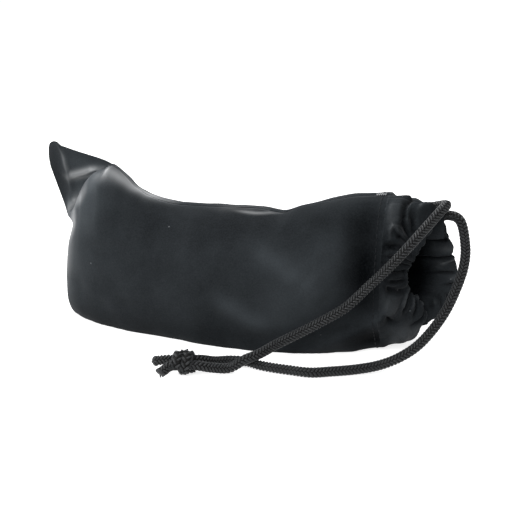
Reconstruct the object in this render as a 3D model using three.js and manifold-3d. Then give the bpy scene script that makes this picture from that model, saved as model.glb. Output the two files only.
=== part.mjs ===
import * as THREE from 'three';
import Module from 'manifold-3d';

// A soft glasses pouch with a drawstring mouth. It lies on its long lower edge: the mouth is
// at +X, the sewn end with its standing corner at -X, the front panel at -Y, up is +Z.
// All sizes are in millimetres.

// The whole pouch
const LENGTH = 186;
const BODY_HEIGHT = 60;
const BODY_DEPTH = 44;
const CLOTH = 1.0;
const GAP = 0.3;
const BOW = 10;

// The sewn end
const EAR_RISE = 22.5;
const EAR_RUN = 63;
const EAR_BEND = 0.34;
const PUFF_RUN = 26;

// The gathered mouth
const NECK_DIP = 2.5;
const CASING_WIDTH = 23;
const CASING_THICK = 8;
const MOUTH_SLANT = 0.28;
const PLEATS = 14;
const PLEAT_DEPTH = 1.3;
const GATHER = 3;

// The drawcord
const CORD = 4.5;
const CORD_SIDES = 8;
const TUNNEL_SLACK = 0.6;
const TAIL = 11;

// Seam allowances inside the pouch
const SEAM_WIDE = 6;
const SEAM_THICK = 2;

// Sizes that follow from the ones above
const X_TIP = -LENGTH / 2;
const X_RIM = LENGTH / 2;
const X_SEAM = X_RIM - CASING_WIDTH - 3;
const HALF_DEPTH = BODY_DEPTH / 2;
const CORD_R = CORD / 2;
const TOP_SLIT = CORD_R + GATHER + 0.4;
const LOW_SLIT = GATHER + 0.3;

const wasm = await Module();
wasm.setup();

// A smooth line through hand-set points [x, value], level at both ends.
function along(points, x) {
  if (x <= points[0][0]) return points[0][1];
  const last = points.length - 1;
  if (x >= points[last][0]) return points[last][1];
  let i = 0;
  while (x > points[i + 1][0]) i += 1;
  const slope = (k) => {
    if (k === 0 || k === last) return 0;
    const before = (points[k][1] - points[k - 1][1]) / (points[k][0] - points[k - 1][0]);
    const after = (points[k + 1][1] - points[k][1]) / (points[k + 1][0] - points[k][0]);
    return before * after <= 0 ? 0 : (2 * before * after) / (before + after);
  };
  const span = points[i + 1][0] - points[i][0];
  const u = (x - points[i][0]) / span;
  const h1 = u * u * (3 - 2 * u);
  const rise = (u - 2 * u * u + u * u * u) * slope(i) + (u * u * u - u * u) * slope(i + 1);
  return points[i][1] * (1 - h1) + points[i + 1][1] * h1 + rise * span;
}

const smooth = (lo, hi, x) => {
  const u = Math.min(1, Math.max(0, (x - lo) / (hi - lo)));
  return u * u * (3 - 2 * u);
};
const power = (x, p) => Math.sign(x) * Math.abs(x) ** p;

// The pouch is a little bowed in plan: its middle lies nearer the front than its ends.
const bowAt = (x) => BOW * ((2 * x / LENGTH) ** 2 - 0.45);

// The body's outline from the side and its half depth, as shares of height and depth along it.
const share = (x) => (x - X_TIP) / (X_SEAM - X_TIP);
const topLine = (x) => BODY_HEIGHT * along(
  [[0, 0.98], [0.4, 0.975], [0.55, 0.98], [0.68, 0.99], [0.84, 1.1], [1, 1.17]], share(x));
const lowLine = (x) => BODY_HEIGHT * along([[0, -0.05], [0.35, -0.07], [0.75, -0.07], [1, 0.03]], share(x));
const depthLine = (x) => HALF_DEPTH * along(
  [[0, 0.92], [0.3, 1], [0.6, 1.06], [0.8, 1.04], [1, 0.88]], share(x));
const earLine = (x) => EAR_RISE * along(
  [[0, 1], [0.41, 0.77], [0.59, 0.45], [0.74, 0.14], [1, 0]], (x - X_TIP) / EAR_RUN);

const ridgeLine = (x) => topLine(x) + earLine(x);

// Where the filling ends: at the ridge, but below it in the corner, whose doubled cloth stands up flat.
const shoulderLine = (x) => Math.min(ridgeLine(x), BODY_HEIGHT * along(
  [[0, 0.77], [0.14, 0.83], [0.21, 0.925], [0.27, 1.03], [0.32, 1.12], [0.4, 1.19], [0.49, 1.23], [0.6, 1.5]],
  (x - X_TIP) / EAR_RUN));

// The sewn end as seen from the side: lower corner, belly, notch and the corner that stands up.
const endAt = (z) => X_TIP + PUFF_RUN * along(
  [[0, 0.44], [0.03, 0.34], [0.13, 0.29], [0.37, 0.3], [0.57, 0.34], [0.72, 0.41], [0.87, 0.26], [1.08, 0.07],
    [1.22, 0], [1.31, 0], [1.36, 0.06]], z / BODY_HEIGHT);

// The free edge of the standing corner bends back along a crease.
const creaseAt = (z) => X_TIP + PUFF_RUN * along(
  [[0.77, 0.35], [0.88, 0.39], [1, 0.4], [1.1, 0.38], [1.17, 0.31], [1.27, 0.25], [1.35, 0.12]], z / BODY_HEIGHT);
function earBend(x, z) {
  const past = creaseAt(z) - x;
  const standing = smooth(0.73, 0.87, z / BODY_HEIGHT) * smooth(0.9, 0.58, (x - X_TIP) / PUFF_RUN);
  return EAR_BEND * standing * (past + Math.sqrt(past ** 2 + 1.2));
}

// Height of a panel's inner face at t, which runs up from the lower seam to the upper ridge,
// and how far round the filled oval that is.
function riseAt(t, x) {
  const low = lowLine(x) + CLOTH;
  const shoulder = shoulderLine(x) - CLOTH;
  const standing = ridgeLine(x) - shoulderLine(x);
  const part = 0.3 * Math.min(1, standing / (EAR_RISE * 1.5)) ** 0.7;
  const s = Math.min(1, t / (1 - part));
  const shouldered = smooth(0.84, 0.52, (x - X_TIP) / EAR_RUN) * smooth(0.5, 0.7, s);
  const firm = 0.85 + 0.15 * Math.max(smooth(X_SEAM - 18, X_SEAM - 1, x), shouldered);
  const up = power(Math.sin(Math.PI * (s - 0.5)), firm);
  const above = part > 0 ? Math.max(0, (t - 1 + part) / part) : 0;
  return { s, z: (low + shoulder) / 2 + (shoulder - low) / 2 * up + standing * above };
}

// A point of a panel's inner face: v runs from the sewn end to the casing seam.
function clothPoint(side, t, v) {
  let xEnd = X_TIP;
  for (let i = 0; i < 25; i += 1) xEnd = (xEnd + endAt(riseAt(t, xEnd).z)) / 2;
  const x = xEnd + (X_SEAM - xEnd) * v;
  const { s, z } = riseAt(t, x);
  const lean = side < 0
    ? along([[0, 0.3], [0.19, 0.4], [0.39, 0.3], [0.64, 0.35], [0.86, 0.2], [0.96, 0]], share(x))
    : along([[0, 0.5], [0.24, 0.45], [0.39, 0]], share(x));
  const firm = 0.8 + 0.2 * smooth(X_SEAM - 18, X_SEAM - 1, x) + lean * smooth(0.45, 0.75, s);
  const oval = Math.max(0, Math.cos(Math.PI * (s - 0.5))) ** firm;
  const run = Math.min(1, (x - xEnd) / PUFF_RUN);
  const swell = Math.sqrt(1 - (1 - run) ** 2);
  const neck = side < 0 ? NECK_DIP * Math.exp(-(((X_SEAM - 5 - x) / 9) ** 2) - ((t - 0.58) / 0.22) ** 2) : 0;
  const y = GAP / 2 + Math.max(0, depthLine(x) * oval * swell - neck);
  return new THREE.Vector3(x, side * y, Math.max(z, CLOTH));
}

function clothNormal(side, t, v) {
  const ta = Math.min(0.985, Math.max(0.015, t));
  const va = Math.min(0.995, Math.max(0.006, v));
  const dt = clothPoint(side, ta + 0.005, va).sub(clothPoint(side, ta - 0.005, va));
  const dv = clothPoint(side, ta, va + 0.003).sub(clothPoint(side, ta, va - 0.003));
  return dt.cross(dv).multiplyScalar(side).normalize();
}

function clothOuter(side, t, v) {
  const inner = clothPoint(side, t, v);
  const n = clothNormal(side, t, v);
  const outer = inner.clone().addScaledVector(n, CLOTH);
  if (side * outer.y < GAP / 2) outer.y = side * GAP / 2;
  if (inner.z === CLOTH || outer.z < 0) outer.z = 0;
  return outer;
}

// A closed skin over a grid of points: rows of equal length, closed or open each way.
function gridFaces(index, rows, cols, at, flip) {
  for (let i = 0; i < rows - 1; i += 1) {
    for (let j = 0; j < cols - 1; j += 1) {
      const [a, b, c, d] = [at(i, j), at(i + 1, j), at(i + 1, j + 1), at(i, j + 1)];
      if (flip) index.push(a, c, b, a, d, c);
      else index.push(a, b, c, a, c, d);
    }
  }
}

function panel(side) {
  const rises = Array.from({ length: 21 }, (_, i) => i / 20);
  const runs = [0, 0.006, 0.02, 0.045, 0.075, 0.105, 0.135, 0.165, 0.2, 0.24, 0.29, 0.35, 0.42, 0.49, 0.56, 0.63,
    0.69, 0.75, 0.81, 0.87, 0.93, 0.97, 1];
  const rows = rises.length;
  const cols = runs.length;
  const points = [];
  for (const t of rises) for (const v of runs) points.push(clothOuter(side, t, v));
  for (const t of rises) for (const v of runs) points.push(clothPoint(side, t, v));
  const outer = (i, j) => i * cols + j;
  const inner = (i, j) => (rows + i) * cols + j;
  const index = [];
  const flip = side > 0;
  gridFaces(index, rows, cols, outer, !flip);
  gridFaces(index, rows, cols, inner, flip);
  for (const i of [0, rows - 1]) {
    gridFaces(index, 2, cols, (k, j) => (k ? inner(i, j) : outer(i, j)), (i === 0) === flip);
  }
  for (const j of [0, cols - 1]) {
    gridFaces(index, 2, rows, (k, i) => (k ? inner(i, j) : outer(i, j)), (j === 0) !== flip);
  }
  const geometry = new THREE.BufferGeometry();
  geometry.setAttribute('position', new THREE.Float32BufferAttribute(points.flatMap((p) => p.toArray()), 3));
  geometry.setIndex(index);
  return geometry;
}

// Solids for the joins and cuts.
function solid(geometry) {
  const count = geometry.attributes.position.count;
  const order = geometry.index ? Array.from(geometry.index.array) : Array.from({ length: count }, (_, i) => i);
  const keys = new Map();
  const vertProperties = [];
  const remap = [];
  for (let i = 0; i < count; i += 1) {
    const p = new THREE.Vector3().fromBufferAttribute(geometry.attributes.position, i);
    const key = p.toArray().map((c) => Math.round(c * 1e4)).join(' ');
    if (!keys.has(key)) {
      keys.set(key, keys.size);
      vertProperties.push(p.x, p.y, p.z);
    }
    remap.push(keys.get(key));
  }
  const triVerts = [];
  for (let i = 0; i < order.length; i += 3) {
    const [a, b, c] = [remap[order[i]], remap[order[i + 1]], remap[order[i + 2]]];
    if (a !== b && b !== c && a !== c) triVerts.push(a, b, c);
  }
  return new wasm.Manifold(new wasm.Mesh({
    numProp: 3,
    vertProperties: new Float32Array(vertProperties),
    triVerts: new Uint32Array(triVerts),
  }));
}

function fromSolid(body) {
  const mesh = body.getMesh();
  const geometry = new THREE.BufferGeometry();
  geometry.setAttribute('position', new THREE.Float32BufferAttribute(Array.from(mesh.vertProperties), 3));
  geometry.setIndex(Array.from(mesh.triVerts));
  return geometry;
}

function block(x0, x1, y0, y1, z0, z1) {
  const geometry = new THREE.BoxGeometry(x1 - x0, y1 - y0, z1 - z0);
  geometry.translate((x0 + x1) / 2, (y0 + y1) / 2, (z0 + z1) / 2);
  return geometry;
}

// The gathered casing: a ring of cloth folded over the cord, pleated, slanting to the front.
const ringMiddle = (X_SEAM + GAP + X_RIM) / 2;
const seamHigh = topLine(X_SEAM);
const seamLow = lowLine(X_SEAM);
const ringHeart = (seamHigh + seamLow) / 2;
const ringTall = (seamHigh - seamLow) / 2 - CASING_THICK / 2;
const ringWide = depthLine(X_SEAM) + CLOTH - CASING_THICK / 2;

function ringPoint(angle, lengthwise, outward) {
  const squeeze = 1 - 0.09 * (1 + lengthwise);
  const y = -ringWide * squeeze * Math.sin(angle);
  const z = ringTall * squeeze * Math.cos(angle);
  const n = new THREE.Vector2(y / ringWide ** 2, z / ringTall ** 2).normalize();
  const rim = X_RIM - MOUTH_SLANT * ringWide * (1 + Math.sin(angle)) * 0.75;
  const x0 = X_SEAM + GAP;
  return new THREE.Vector3(
    x0 + (rim - x0) * (1 + lengthwise) / 2,
    y + n.x * outward,
    ringHeart + z + n.y * outward);
}

function ringSkin(around, section) {
  const points = [];
  for (let i = 0; i < around; i += 1) {
    const angle = 2 * Math.PI * i / around;
    for (const [lengthwise, outward, pleat] of section) {
      const fold = pleat * PLEAT_DEPTH * Math.cos(PLEATS * angle);
      points.push(ringPoint(angle, lengthwise, outward + fold));
    }
  }
  const m = section.length;
  const index = [];
  gridFaces(index, around + 1, m + 1, (i, j) => (i % around) * m + (j % m), true);
  const geometry = new THREE.BufferGeometry();
  geometry.setAttribute('position', new THREE.Float32BufferAttribute(points.flatMap((p) => p.toArray()), 3));
  geometry.setIndex(index);
  return geometry;
}

const loop = (n, fn) => Array.from({ length: n }, (_, k) => fn(2 * Math.PI * k / n));
const halfCasing = CASING_THICK / 2;
const casingSection = [
  [-1, -0.75, 0], [-1, 0.9, 0.2], [-0.85, 1, 0.3], [-0.5, 1, 0.5], [0, 1, 0.65], [0.5, 0.97, 0.85],
  [0.85, 0.75, 0.95], [1, 0.25, 0.6], [1, -0.25, 0.3], [0.85, -0.75, 0.3], [0.5, -0.97, 0.3],
  [0, -1, 0.2], [-0.5, -1, 0.15], [-0.85, -0.95, 0.1],
].map(([lengthwise, outward, pleat]) => [lengthwise, halfCasing * outward, pleat]).reverse();
const tunnelSection = loop(8, (w) => {
  const r = CORD_R + TUNNEL_SLACK;
  return [r * Math.cos(w) / (CASING_WIDTH / 2 - 3), r * Math.sin(w), 0];
});

const ring = solid(ringSkin(PLEATS * 4, casingSection)).subtract(solid(ringSkin(PLEATS * 4, tunnelSection)));
const far = LENGTH;
const slits = solid(block(0, far, -TOP_SLIT, TOP_SLIT, ringHeart, far))
  .add(solid(block(0, far, -LOW_SLIT, LOW_SLIT, -far, ringHeart + 1)));
const lips = ring.subtract(slits);
const casingFront = fromSolid(lips.intersect(solid(block(0, far, -far, 0, -far, far))));
const casingBack = fromSolid(lips.intersect(solid(block(0, far, 0, far, -far, far))));

// A round cord along hand-set points.
function cord(points, steps, radius = CORD_R, sides = CORD_SIDES) {
  const shape = new THREE.Shape(loop(sides, (w) => new THREE.Vector2(radius * Math.cos(w), radius * Math.sin(w))));
  const curve = new THREE.CatmullRomCurve3(points.map((p) => new THREE.Vector3(...p)), false, 'centripetal');
  return new THREE.ExtrudeGeometry(shape, { steps, extrudePath: curve, bevelEnabled: false });
}

// The part of the cord that lies in a casing half.
function cordInCasing(side) {
  const points = [];
  const top = Math.asin((TOP_SLIT + GAP) / (ringWide * 0.91));
  const low = Math.asin((LOW_SLIT + CORD_R / 2 + GAP) / (ringWide * 0.91));
  for (let i = 0; i <= 12; i += 1) {
    const angle = top + (Math.PI - low - top) * i / 12;
    points.push(ringPoint(-side * angle, 0, 0).toArray());
  }
  return cord(points, 24);
}

// A closed bar through a row of four-cornered sections.
function bar(sections) {
  const points = sections.flat();
  const index = [];
  gridFaces(index, sections.length, 5, (i, j) => i * 4 + (j % 4), true);
  const end = 4 * (sections.length - 1);
  index.push(0, 2, 1, 0, 3, 2, end, end + 1, end + 2, end, end + 2, end + 3);
  const geometry = new THREE.BufferGeometry();
  geometry.setAttribute('position', new THREE.Float32BufferAttribute(points.flat(), 3));
  geometry.setIndex(index);
  return geometry;
}

const spread = (lo, hi, n) => Array.from({ length: n + 1 }, (_, i) => lo + (hi - lo) * i / n);
const section = (x, y, z0, z1) => [[x, -y, z0], [x, y, z0], [x, y, z1], [x, -y, z1]];

// Seam allowances: the upper one hangs from the ridge and runs on below the cord's slit, the lower
// one lies flat on the bottom cloth, the one across the end stands behind the end seam.
const slitTop = ringHeart + ringTall * 0.91;
const slitFloor = slitTop - CORD - 1.3 - GAP;
const upperSeam = bar([...spread(X_TIP + EAR_RUN, X_SEAM - 9, 10), X_SEAM + 1, X_RIM - 9].map((x) => {
  const z = x < X_SEAM ? topLine(x) - CLOTH - GAP : slitFloor;
  return section(x, SEAM_THICK / 2, z - SEAM_WIDE, z);
}));
const lowerSeam = bar(spread(endAt(0) + 6, X_SEAM - 1, 12).map((x) => {
  const z = Math.max(lowLine(x), 0) + CLOTH + 2 * GAP;
  return section(x, SEAM_WIDE / 2, z, z + SEAM_THICK);
}));
const endSeam = bar(spread(0.18, 0.55, 8).map((t) => {
  const p = clothPoint(1, t, 0);
  const y = SEAM_THICK / 2;
  return [[p.x + 1.1, -y, p.z], [p.x + SEAM_WIDE, -y, p.z], [p.x + SEAM_WIDE, y, p.z], [p.x + 1.1, y, p.z]];
}));

// The bar tack that closes the upper seam below the cord's slit.
const tackWide = TOP_SLIT - GATHER - 0.6;
const bartack = block(X_SEAM + GAP, X_SEAM + GAP + 2.2, -tackWide, tackWide, seamHigh - 6, seamHigh - 0.6);

// A row of thread round the body just before the casing.
function topstitch(side) {
  const r = 0.45;
  const points = spread(0.1, 0.9, 14).map((t) => {
    const v = 1 - 2 / (X_SEAM - clothPoint(side, t, 0).x);
    return clothOuter(side, t, v).addScaledVector(clothNormal(side, t, v), GAP + r).toArray();
  });
  return cord(points, 28, r, 6);
}

// The loose cord. Both strands start in the slit at the top of the mouth, and each point is set
// from the rim, the front and the height of the slit. They meet again in the knot.
const fromMouth = ([x, y, z]) => [X_RIM + x, y - HALF_DEPTH, CORD_R + 0.2 + (slitTop - CORD_R) * z];
const stub = (x, z) => [X_RIM + x, bowAt(X_RIM + x), slitTop + z];
const crossing = (CORD + 2 * GAP) / (slitTop - CORD_R);
const frontRoute = [
  stub(-11, CORD_R - 0.9),
  stub(-7.8, CORD_R - 0.7),
  [X_RIM - 4.4, bowAt(X_RIM) - 1.8, slitTop + CORD_R + 0.2],
  [X_RIM - 1.7, bowAt(X_RIM) - 3.8, slitTop + CORD_R + 1.4],
  [X_RIM - 1.0, bowAt(X_RIM) - 7.4, slitTop + CORD_R + 2.2],
  ...[[-2.8, 14.4, 1.045], [-6.3, 8.9, 0.983], [-13, -0.2, 0.861], [-20.5, -3.2, 0.718], [-28.7, -3.7, 0.57],
    [-38.7, -6.0, 0.4], [-49.1, -7.8, 0.285], [-59.7, -9.6, 0.18], [-67, -13, 0.12], [-73.1, -20.6, crossing],
    [-78.1, -24.4, 0.06], [-84, -27.2, 0.005], [-90, -30.4, 0.015]].map(fromMouth),
];
const sideRoute = [
  stub(-11, -CORD_R - 1.3),
  stub(-6, -CORD_R - 1.0),
  [X_RIM - 0.6, bowAt(X_RIM) - 0.6, slitTop - 2.0],
  ...[[4.9, 23, 0.955], [8.4, 18, 0.8], [8.9, 14, 0.7], [7.7, 10, 0.59], [2.5, 2, 0.37], [-6.4, -5, 0.175],
    [-13.7, -8.6, 0.09], [-22.3, -10.5, 0.025], [-31.9, -14.6, 0.003], [-41.8, -19.1, 0], [-49.7, -22.4, 0],
    [-58.5, -22.3, 0], [-67.5, -21.6, 0], [-73.2, -20.5, 0], [-79.7, -18.2, 0], [-86.4, -19.4, 0.002],
    [-92, -23.2, 0.012]].map(fromMouth),
];
const knotAt = new THREE.Vector3(...fromMouth([-102.5, -33.2, 0])).setZ(CORD_R * 2.5 + 0.1);
const knotAlong = new THREE.Vector3(-0.95, -0.31, 0).normalize();
const knotAcross = new THREE.Vector3(-0.31, 0.95, 0).normalize();
const nearKnot = (a, b, z) => knotAt.clone().addScaledVector(knotAlong, a).addScaledVector(knotAcross, b)
  .add(new THREE.Vector3(0, 0, z)).toArray();
const knotHalf = CORD * 1.25;
frontRoute.push(nearKnot(-knotHalf - CORD * 0.24, -CORD_R - 2 * GAP, -0.6));
sideRoute.push(nearKnot(-knotHalf - CORD * 0.24, CORD_R + 2 * GAP, -0.2));

const tailRoutes = [
  [nearKnot(knotHalf + CORD * 0.2, CORD_R + GAP, 0.3), nearKnot(knotHalf + TAIL * 0.4, CORD * 0.8, -0.4),
    nearKnot(knotHalf + TAIL * 0.75, CORD * 1.2, -1.4)],
  [nearKnot(knotHalf + CORD * 0.24, -CORD_R - GAP, -0.8), nearKnot(knotHalf + TAIL * 0.25, -CORD * 0.85, -1.6),
    nearKnot(knotHalf + TAIL * 0.5, -CORD * 1.3, -2.4)],
];

// The overhand knot: two turns of cord drawn tight round a core.
function knot() {
  const turn = (shift) => {
    const torus = new THREE.TorusGeometry(CORD * 0.69, CORD * 0.55, 8, 16);
    torus.rotateY(Math.PI / 2);
    torus.translate(shift, 0, 0);
    return solid(torus);
  };
  const core = new THREE.CylinderGeometry(CORD * 0.72, CORD * 0.72, knotHalf * 2, 12);
  core.rotateZ(Math.PI / 2);
  const body = fromSolid(solid(core).add(turn(-CORD * 0.5)).add(turn(CORD * 0.5)));
  body.rotateZ(Math.atan2(knotAlong.y, knotAlong.x));
  body.translate(knotAt.x, knotAt.y, knotAt.z);
  return body;
}

const group = new THREE.Group();
const cloth = { color: 0x2b2e31, roughness: 0.95, metalness: 0 };
const thread = { color: 0x3a3d40, roughness: 0.8, metalness: 0 };
const braid = { color: 0x17181a, roughness: 0.75, metalness: 0 };

function bow(geometry) {
  const position = geometry.attributes.position;
  for (let i = 0; i < position.count; i += 1) {
    const x = position.getX(i);
    position.setY(i, position.getY(i) + bowAt(x) + earBend(x, position.getZ(i)));
  }
  return geometry;
}

function place(name, geometry, look) {
  geometry.deleteAttribute('normal');
  geometry.deleteAttribute('uv');
  geometry.computeVertexNormals();
  const mesh = new THREE.Mesh(geometry, new THREE.MeshStandardMaterial(look));
  mesh.name = name;
  group.add(mesh);
}

place('front_panel', bow(panel(-1)), cloth);
place('back_panel', bow(panel(1)), cloth);
place('upper_seam', bow(upperSeam), thread);
place('lower_seam', bow(lowerSeam), thread);
place('end_seam', bow(endSeam), thread);
place('exit_bartack', bow(bartack), thread);
place('casing_topstitch_front', bow(topstitch(-1)), thread);
place('casing_topstitch_back', bow(topstitch(1)), thread);
place('casing_front', bow(casingFront), cloth);
place('casing_back', bow(casingBack), cloth);
place('drawcord_in_front_casing', bow(cordInCasing(-1)), braid);
place('drawcord_in_back_casing', bow(cordInCasing(1)), braid);
place('drawcord_front_strand', cord(frontRoute, 46), braid);
place('drawcord_side_strand', cord(sideRoute, 56), braid);
place('drawcord_knot', knot(), braid);
place('drawcord_tail_a', cord(tailRoutes[0], 4), braid);
place('drawcord_tail_b', cord(tailRoutes[1], 4), braid);

// The middle of the pouch without its loose cord is the middle of the frame.
const box = new THREE.Box3();
const loose = /^drawcord_(front_strand|side_strand|knot|tail)/;
for (const mesh of group.children.filter((m) => !loose.test(m.name))) box.expandByObject(mesh);
const middle = box.getCenter(new THREE.Vector3());
for (const mesh of group.children) mesh.geometry.translate(-middle.x, -middle.y, -box.min.z);

export default group;
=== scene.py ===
# %% [markdown]
# # A soft drawstring pouch for glasses
# The real object is a pouch of thin microfibre cloth. It is stuffed full, lies on its long lower
# edge, and its mouth is gathered by a braided cord that ends in a knot.
# The packed solid model is the frame: it gives every place and every size. This lesson dresses
# each solid with the cloth, thread and braid that the real one has.

import math
from types import SimpleNamespace

import bpy
import numpy as np
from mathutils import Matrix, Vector, noise


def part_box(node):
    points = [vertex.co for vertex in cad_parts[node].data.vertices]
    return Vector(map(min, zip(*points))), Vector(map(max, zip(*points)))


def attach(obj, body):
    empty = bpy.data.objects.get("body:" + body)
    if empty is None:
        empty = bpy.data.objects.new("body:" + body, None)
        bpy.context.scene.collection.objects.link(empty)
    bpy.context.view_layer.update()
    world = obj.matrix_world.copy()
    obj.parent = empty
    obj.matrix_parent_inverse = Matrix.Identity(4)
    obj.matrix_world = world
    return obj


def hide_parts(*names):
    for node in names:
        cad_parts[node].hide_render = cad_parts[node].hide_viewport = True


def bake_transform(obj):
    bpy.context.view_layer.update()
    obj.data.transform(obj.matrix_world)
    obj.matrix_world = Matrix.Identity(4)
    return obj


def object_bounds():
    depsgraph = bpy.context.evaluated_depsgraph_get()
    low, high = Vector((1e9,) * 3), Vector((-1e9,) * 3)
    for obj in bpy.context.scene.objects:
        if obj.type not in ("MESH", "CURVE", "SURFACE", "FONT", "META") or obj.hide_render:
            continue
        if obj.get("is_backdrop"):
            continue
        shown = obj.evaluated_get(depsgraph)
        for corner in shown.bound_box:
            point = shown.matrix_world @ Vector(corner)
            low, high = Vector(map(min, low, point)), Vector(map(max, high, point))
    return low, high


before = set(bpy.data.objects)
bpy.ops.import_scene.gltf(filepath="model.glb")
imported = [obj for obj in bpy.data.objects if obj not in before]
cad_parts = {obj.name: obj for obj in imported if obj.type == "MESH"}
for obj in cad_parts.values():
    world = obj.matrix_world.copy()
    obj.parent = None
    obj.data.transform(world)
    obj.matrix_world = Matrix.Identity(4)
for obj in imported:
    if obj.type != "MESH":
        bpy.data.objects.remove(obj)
cad_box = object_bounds()
MM = 0.001

# %% [markdown]
# ## Where things are
# The pouch is bowed in plan, so its middle plane is not straight. The bar tack sits on that plane,
# and its box tells how far the whole pouch was moved to be centred. The panel's box gives the sewn
# end and the casing seam, and the casing's box gives the rim. Shapes are worked out in millimetres,
# as a maker thinks of them, and become metres when a mesh is made.

# %% Read the main places
panel_box = [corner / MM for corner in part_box("front_panel")]
rim_box = [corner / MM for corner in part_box("casing_back")]
tack_box = [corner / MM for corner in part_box("exit_bartack")]
X_TIP, X_SEAM, X_RIM = panel_box[0].x, panel_box[1].x, rim_box[1].x
LENGTH = X_RIM - X_TIP
BOW = 10


def bow_in_plan(x):
    """The sweep of the middle plane at x, before the pouch is moved."""
    return BOW * ((2 * x / LENGTH) ** 2 - 0.45)


tack_x, tack_y = ((tack_box[0][c] + tack_box[1][c]) / 2 for c in (0, 1))
SIDEWAYS = tack_y - bow_in_plan(tack_x)


def bow(x):
    """How far the middle plane lies behind the frame's own middle at x."""
    return bow_in_plan(x) + SIDEWAYS


print("sewn end", round(X_TIP, 1), "seam", round(X_SEAM, 1), "rim", round(X_RIM, 1))
print("moved sideways by", round(SIDEWAYS, 2))

# %% [markdown]
# ## Camera
# A long lens from a little above and a little to the right of the front shows the pouch as it was
# seen, with hardly any narrowing towards the far end. It looks at a point beside the middle, so the
# pouch sits in the picture as it did. The Standard view keeps black cloth black.

# %% Camera
TURN, TILT, REACH, LENS = math.radians(16), math.radians(20), 650, 99
ASIDE, UPWARD = 8.64, 3.64


def place(name, data):
    """Puts an object with this data into the scene."""
    thing = bpy.data.objects.new(name, data)
    bpy.context.collection.objects.link(thing)
    return thing


right = Vector((math.cos(TURN), math.sin(TURN), 0))
back = Vector((math.sin(TURN) * math.cos(TILT), -math.cos(TURN) * math.cos(TILT), math.sin(TILT)))
heart = Vector((0, SIDEWAYS, 30))
eye = heart + back * REACH
aim = heart + right * ASIDE + back.cross(right) * UPWARD
camera = place("camera", bpy.data.cameras.new("camera"))
camera.data.lens = LENS
camera.data.clip_start = 0.01
camera.location = eye * MM
camera.rotation_euler = (aim - eye).to_track_quat("-Z", "Y").to_euler()
scene = bpy.context.scene
scene.camera = camera
scene.view_settings.view_transform = "Standard"
print("camera at", [round(c, 3) for c in camera.location])

# %% [markdown]
# ## Lamps
# Dull black cloth shows its form only where soft light grazes it. One lamp hangs above the sewn end,
# so that the full shoulder there shines. One behind lights the upper edges. One from the left and one
# from the front fill the near side, so that its folds can be read. They are area lamps, because a
# bare point of light would give the braid hard sparkles.

# %% Lamps
LAMPS = {
    "top_lamp": ((-0.26, 0.02, 0.42), 0.4, 2.4),
    "back_lamp": ((-0.3, 0.45, 0.4), 0.3, 1.6),
    "left_lamp": ((-0.5, -0.8, 0.6), 0.5, 4.0),
    "front_lamp": ((0, -0.9, 0.7), 0.6, 5.0),
}
for name, (at, size, watts) in LAMPS.items():
    light = bpy.data.lights.new(name, "AREA")
    light.size = size
    light.energy = watts
    hung = place(name, light)
    hung.location = at
    hung.rotation_euler = (Vector((0, 0, 0.03)) - Vector(at)).to_track_quat("-Z", "Y").to_euler()
print("lamps:", list(LAMPS))

# %% [markdown]
# ## Writing node trees as sums
# Materials and Geometry Nodes are both trees of sockets. A small class wraps one socket. Its plus,
# minus and times add the Math nodes, and its method `node` adds any other node: first the settings,
# then the values or wires of its inputs. Four short methods stand for the nodes that are used most.

# %% The wire class


class Wire:
    """One socket of a node tree."""

    def __init__(self, tree, socket=None):
        self.tree = tree
        self.socket = socket

    def feed(self, socket, value):
        if isinstance(value, Wire):
            self.tree.links.new(value.socket, socket)
        else:
            socket.default_value = value

    def fill(self, shader, values):
        """Sets or wires several inputs of a shader."""
        for key, value in values.items():
            self.feed(shader.inputs[key], value)

    def node(self, kind, settings=None, inputs=None, out=0):
        made = self.tree.nodes.new(kind)
        for key, value in (settings or {}).items():
            setattr(made, key, value)
        for key, value in (inputs or {}).items():
            self.feed(made.inputs[key], value)
        return Wire(self.tree, made.outputs[out] if len(made.outputs) else None)

    def other(self, name):
        """Another output of the node that this wire comes from."""
        return Wire(self.tree, self.socket.node.outputs[name])

    def math(self, operation, *values):
        return self.node("ShaderNodeMath", {"operation": operation}, dict(enumerate(values)))

    def vector(self, operation, inputs):
        return self.node("ShaderNodeVectorMath", {"operation": operation}, inputs)

    def clouds(self, spot, scale, detail, rough=0.5):
        """Soft noise between 0 and 1."""
        sizes = {"Vector": spot, "Scale": scale, "Detail": detail, "Roughness": rough}
        return self.node("ShaderNodeTexNoise", {}, sizes, "Fac")

    def ramp(self, value, *stops):
        """A colour between two stops of (place, red, green, blue)."""
        made = self.node("ShaderNodeValToRGB", {}, {0: value})
        for stop, (at, *colour) in zip(made.socket.node.color_ramp.elements, stops):
            stop.position = at
            stop.color = (*colour, 1)
        return made

    def __add__(self, value):
        return self.math("ADD", self, value)

    def __sub__(self, value):
        return self.math("SUBTRACT", self, value)

    def __rsub__(self, value):
        return self.math("SUBTRACT", value, self)

    def __mul__(self, value):
        return self.math("MULTIPLY", self, value)

    def __truediv__(self, value):
        return self.math("DIVIDE", self, value)

    def __mod__(self, value):
        return self.math("FLOORED_MODULO", self, value)

    __radd__ = __add__
    __rmul__ = __mul__


print("wire methods:", [word for word in vars(Wire) if not word.startswith("_")])

# %% [markdown]
# ## Floor and surroundings
# The pouch lies on a big pale sheet. A floor that is only lit would come out grey, so for the camera
# and in reflections it also glows a little. It turns white and still keeps a soft shadow, and the
# cloth gets no light from the glow. The surroundings use the same trick.

# %% Floor and surroundings
FLOOR_HALF = 4


def new_finish(name):
    """An empty material: its principled shader and a wire to add nodes with."""
    finish = bpy.data.materials.new(name)
    finish.use_nodes = True
    return finish, finish.node_tree.nodes["Principled BSDF"], Wire(finish.node_tree)


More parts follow.
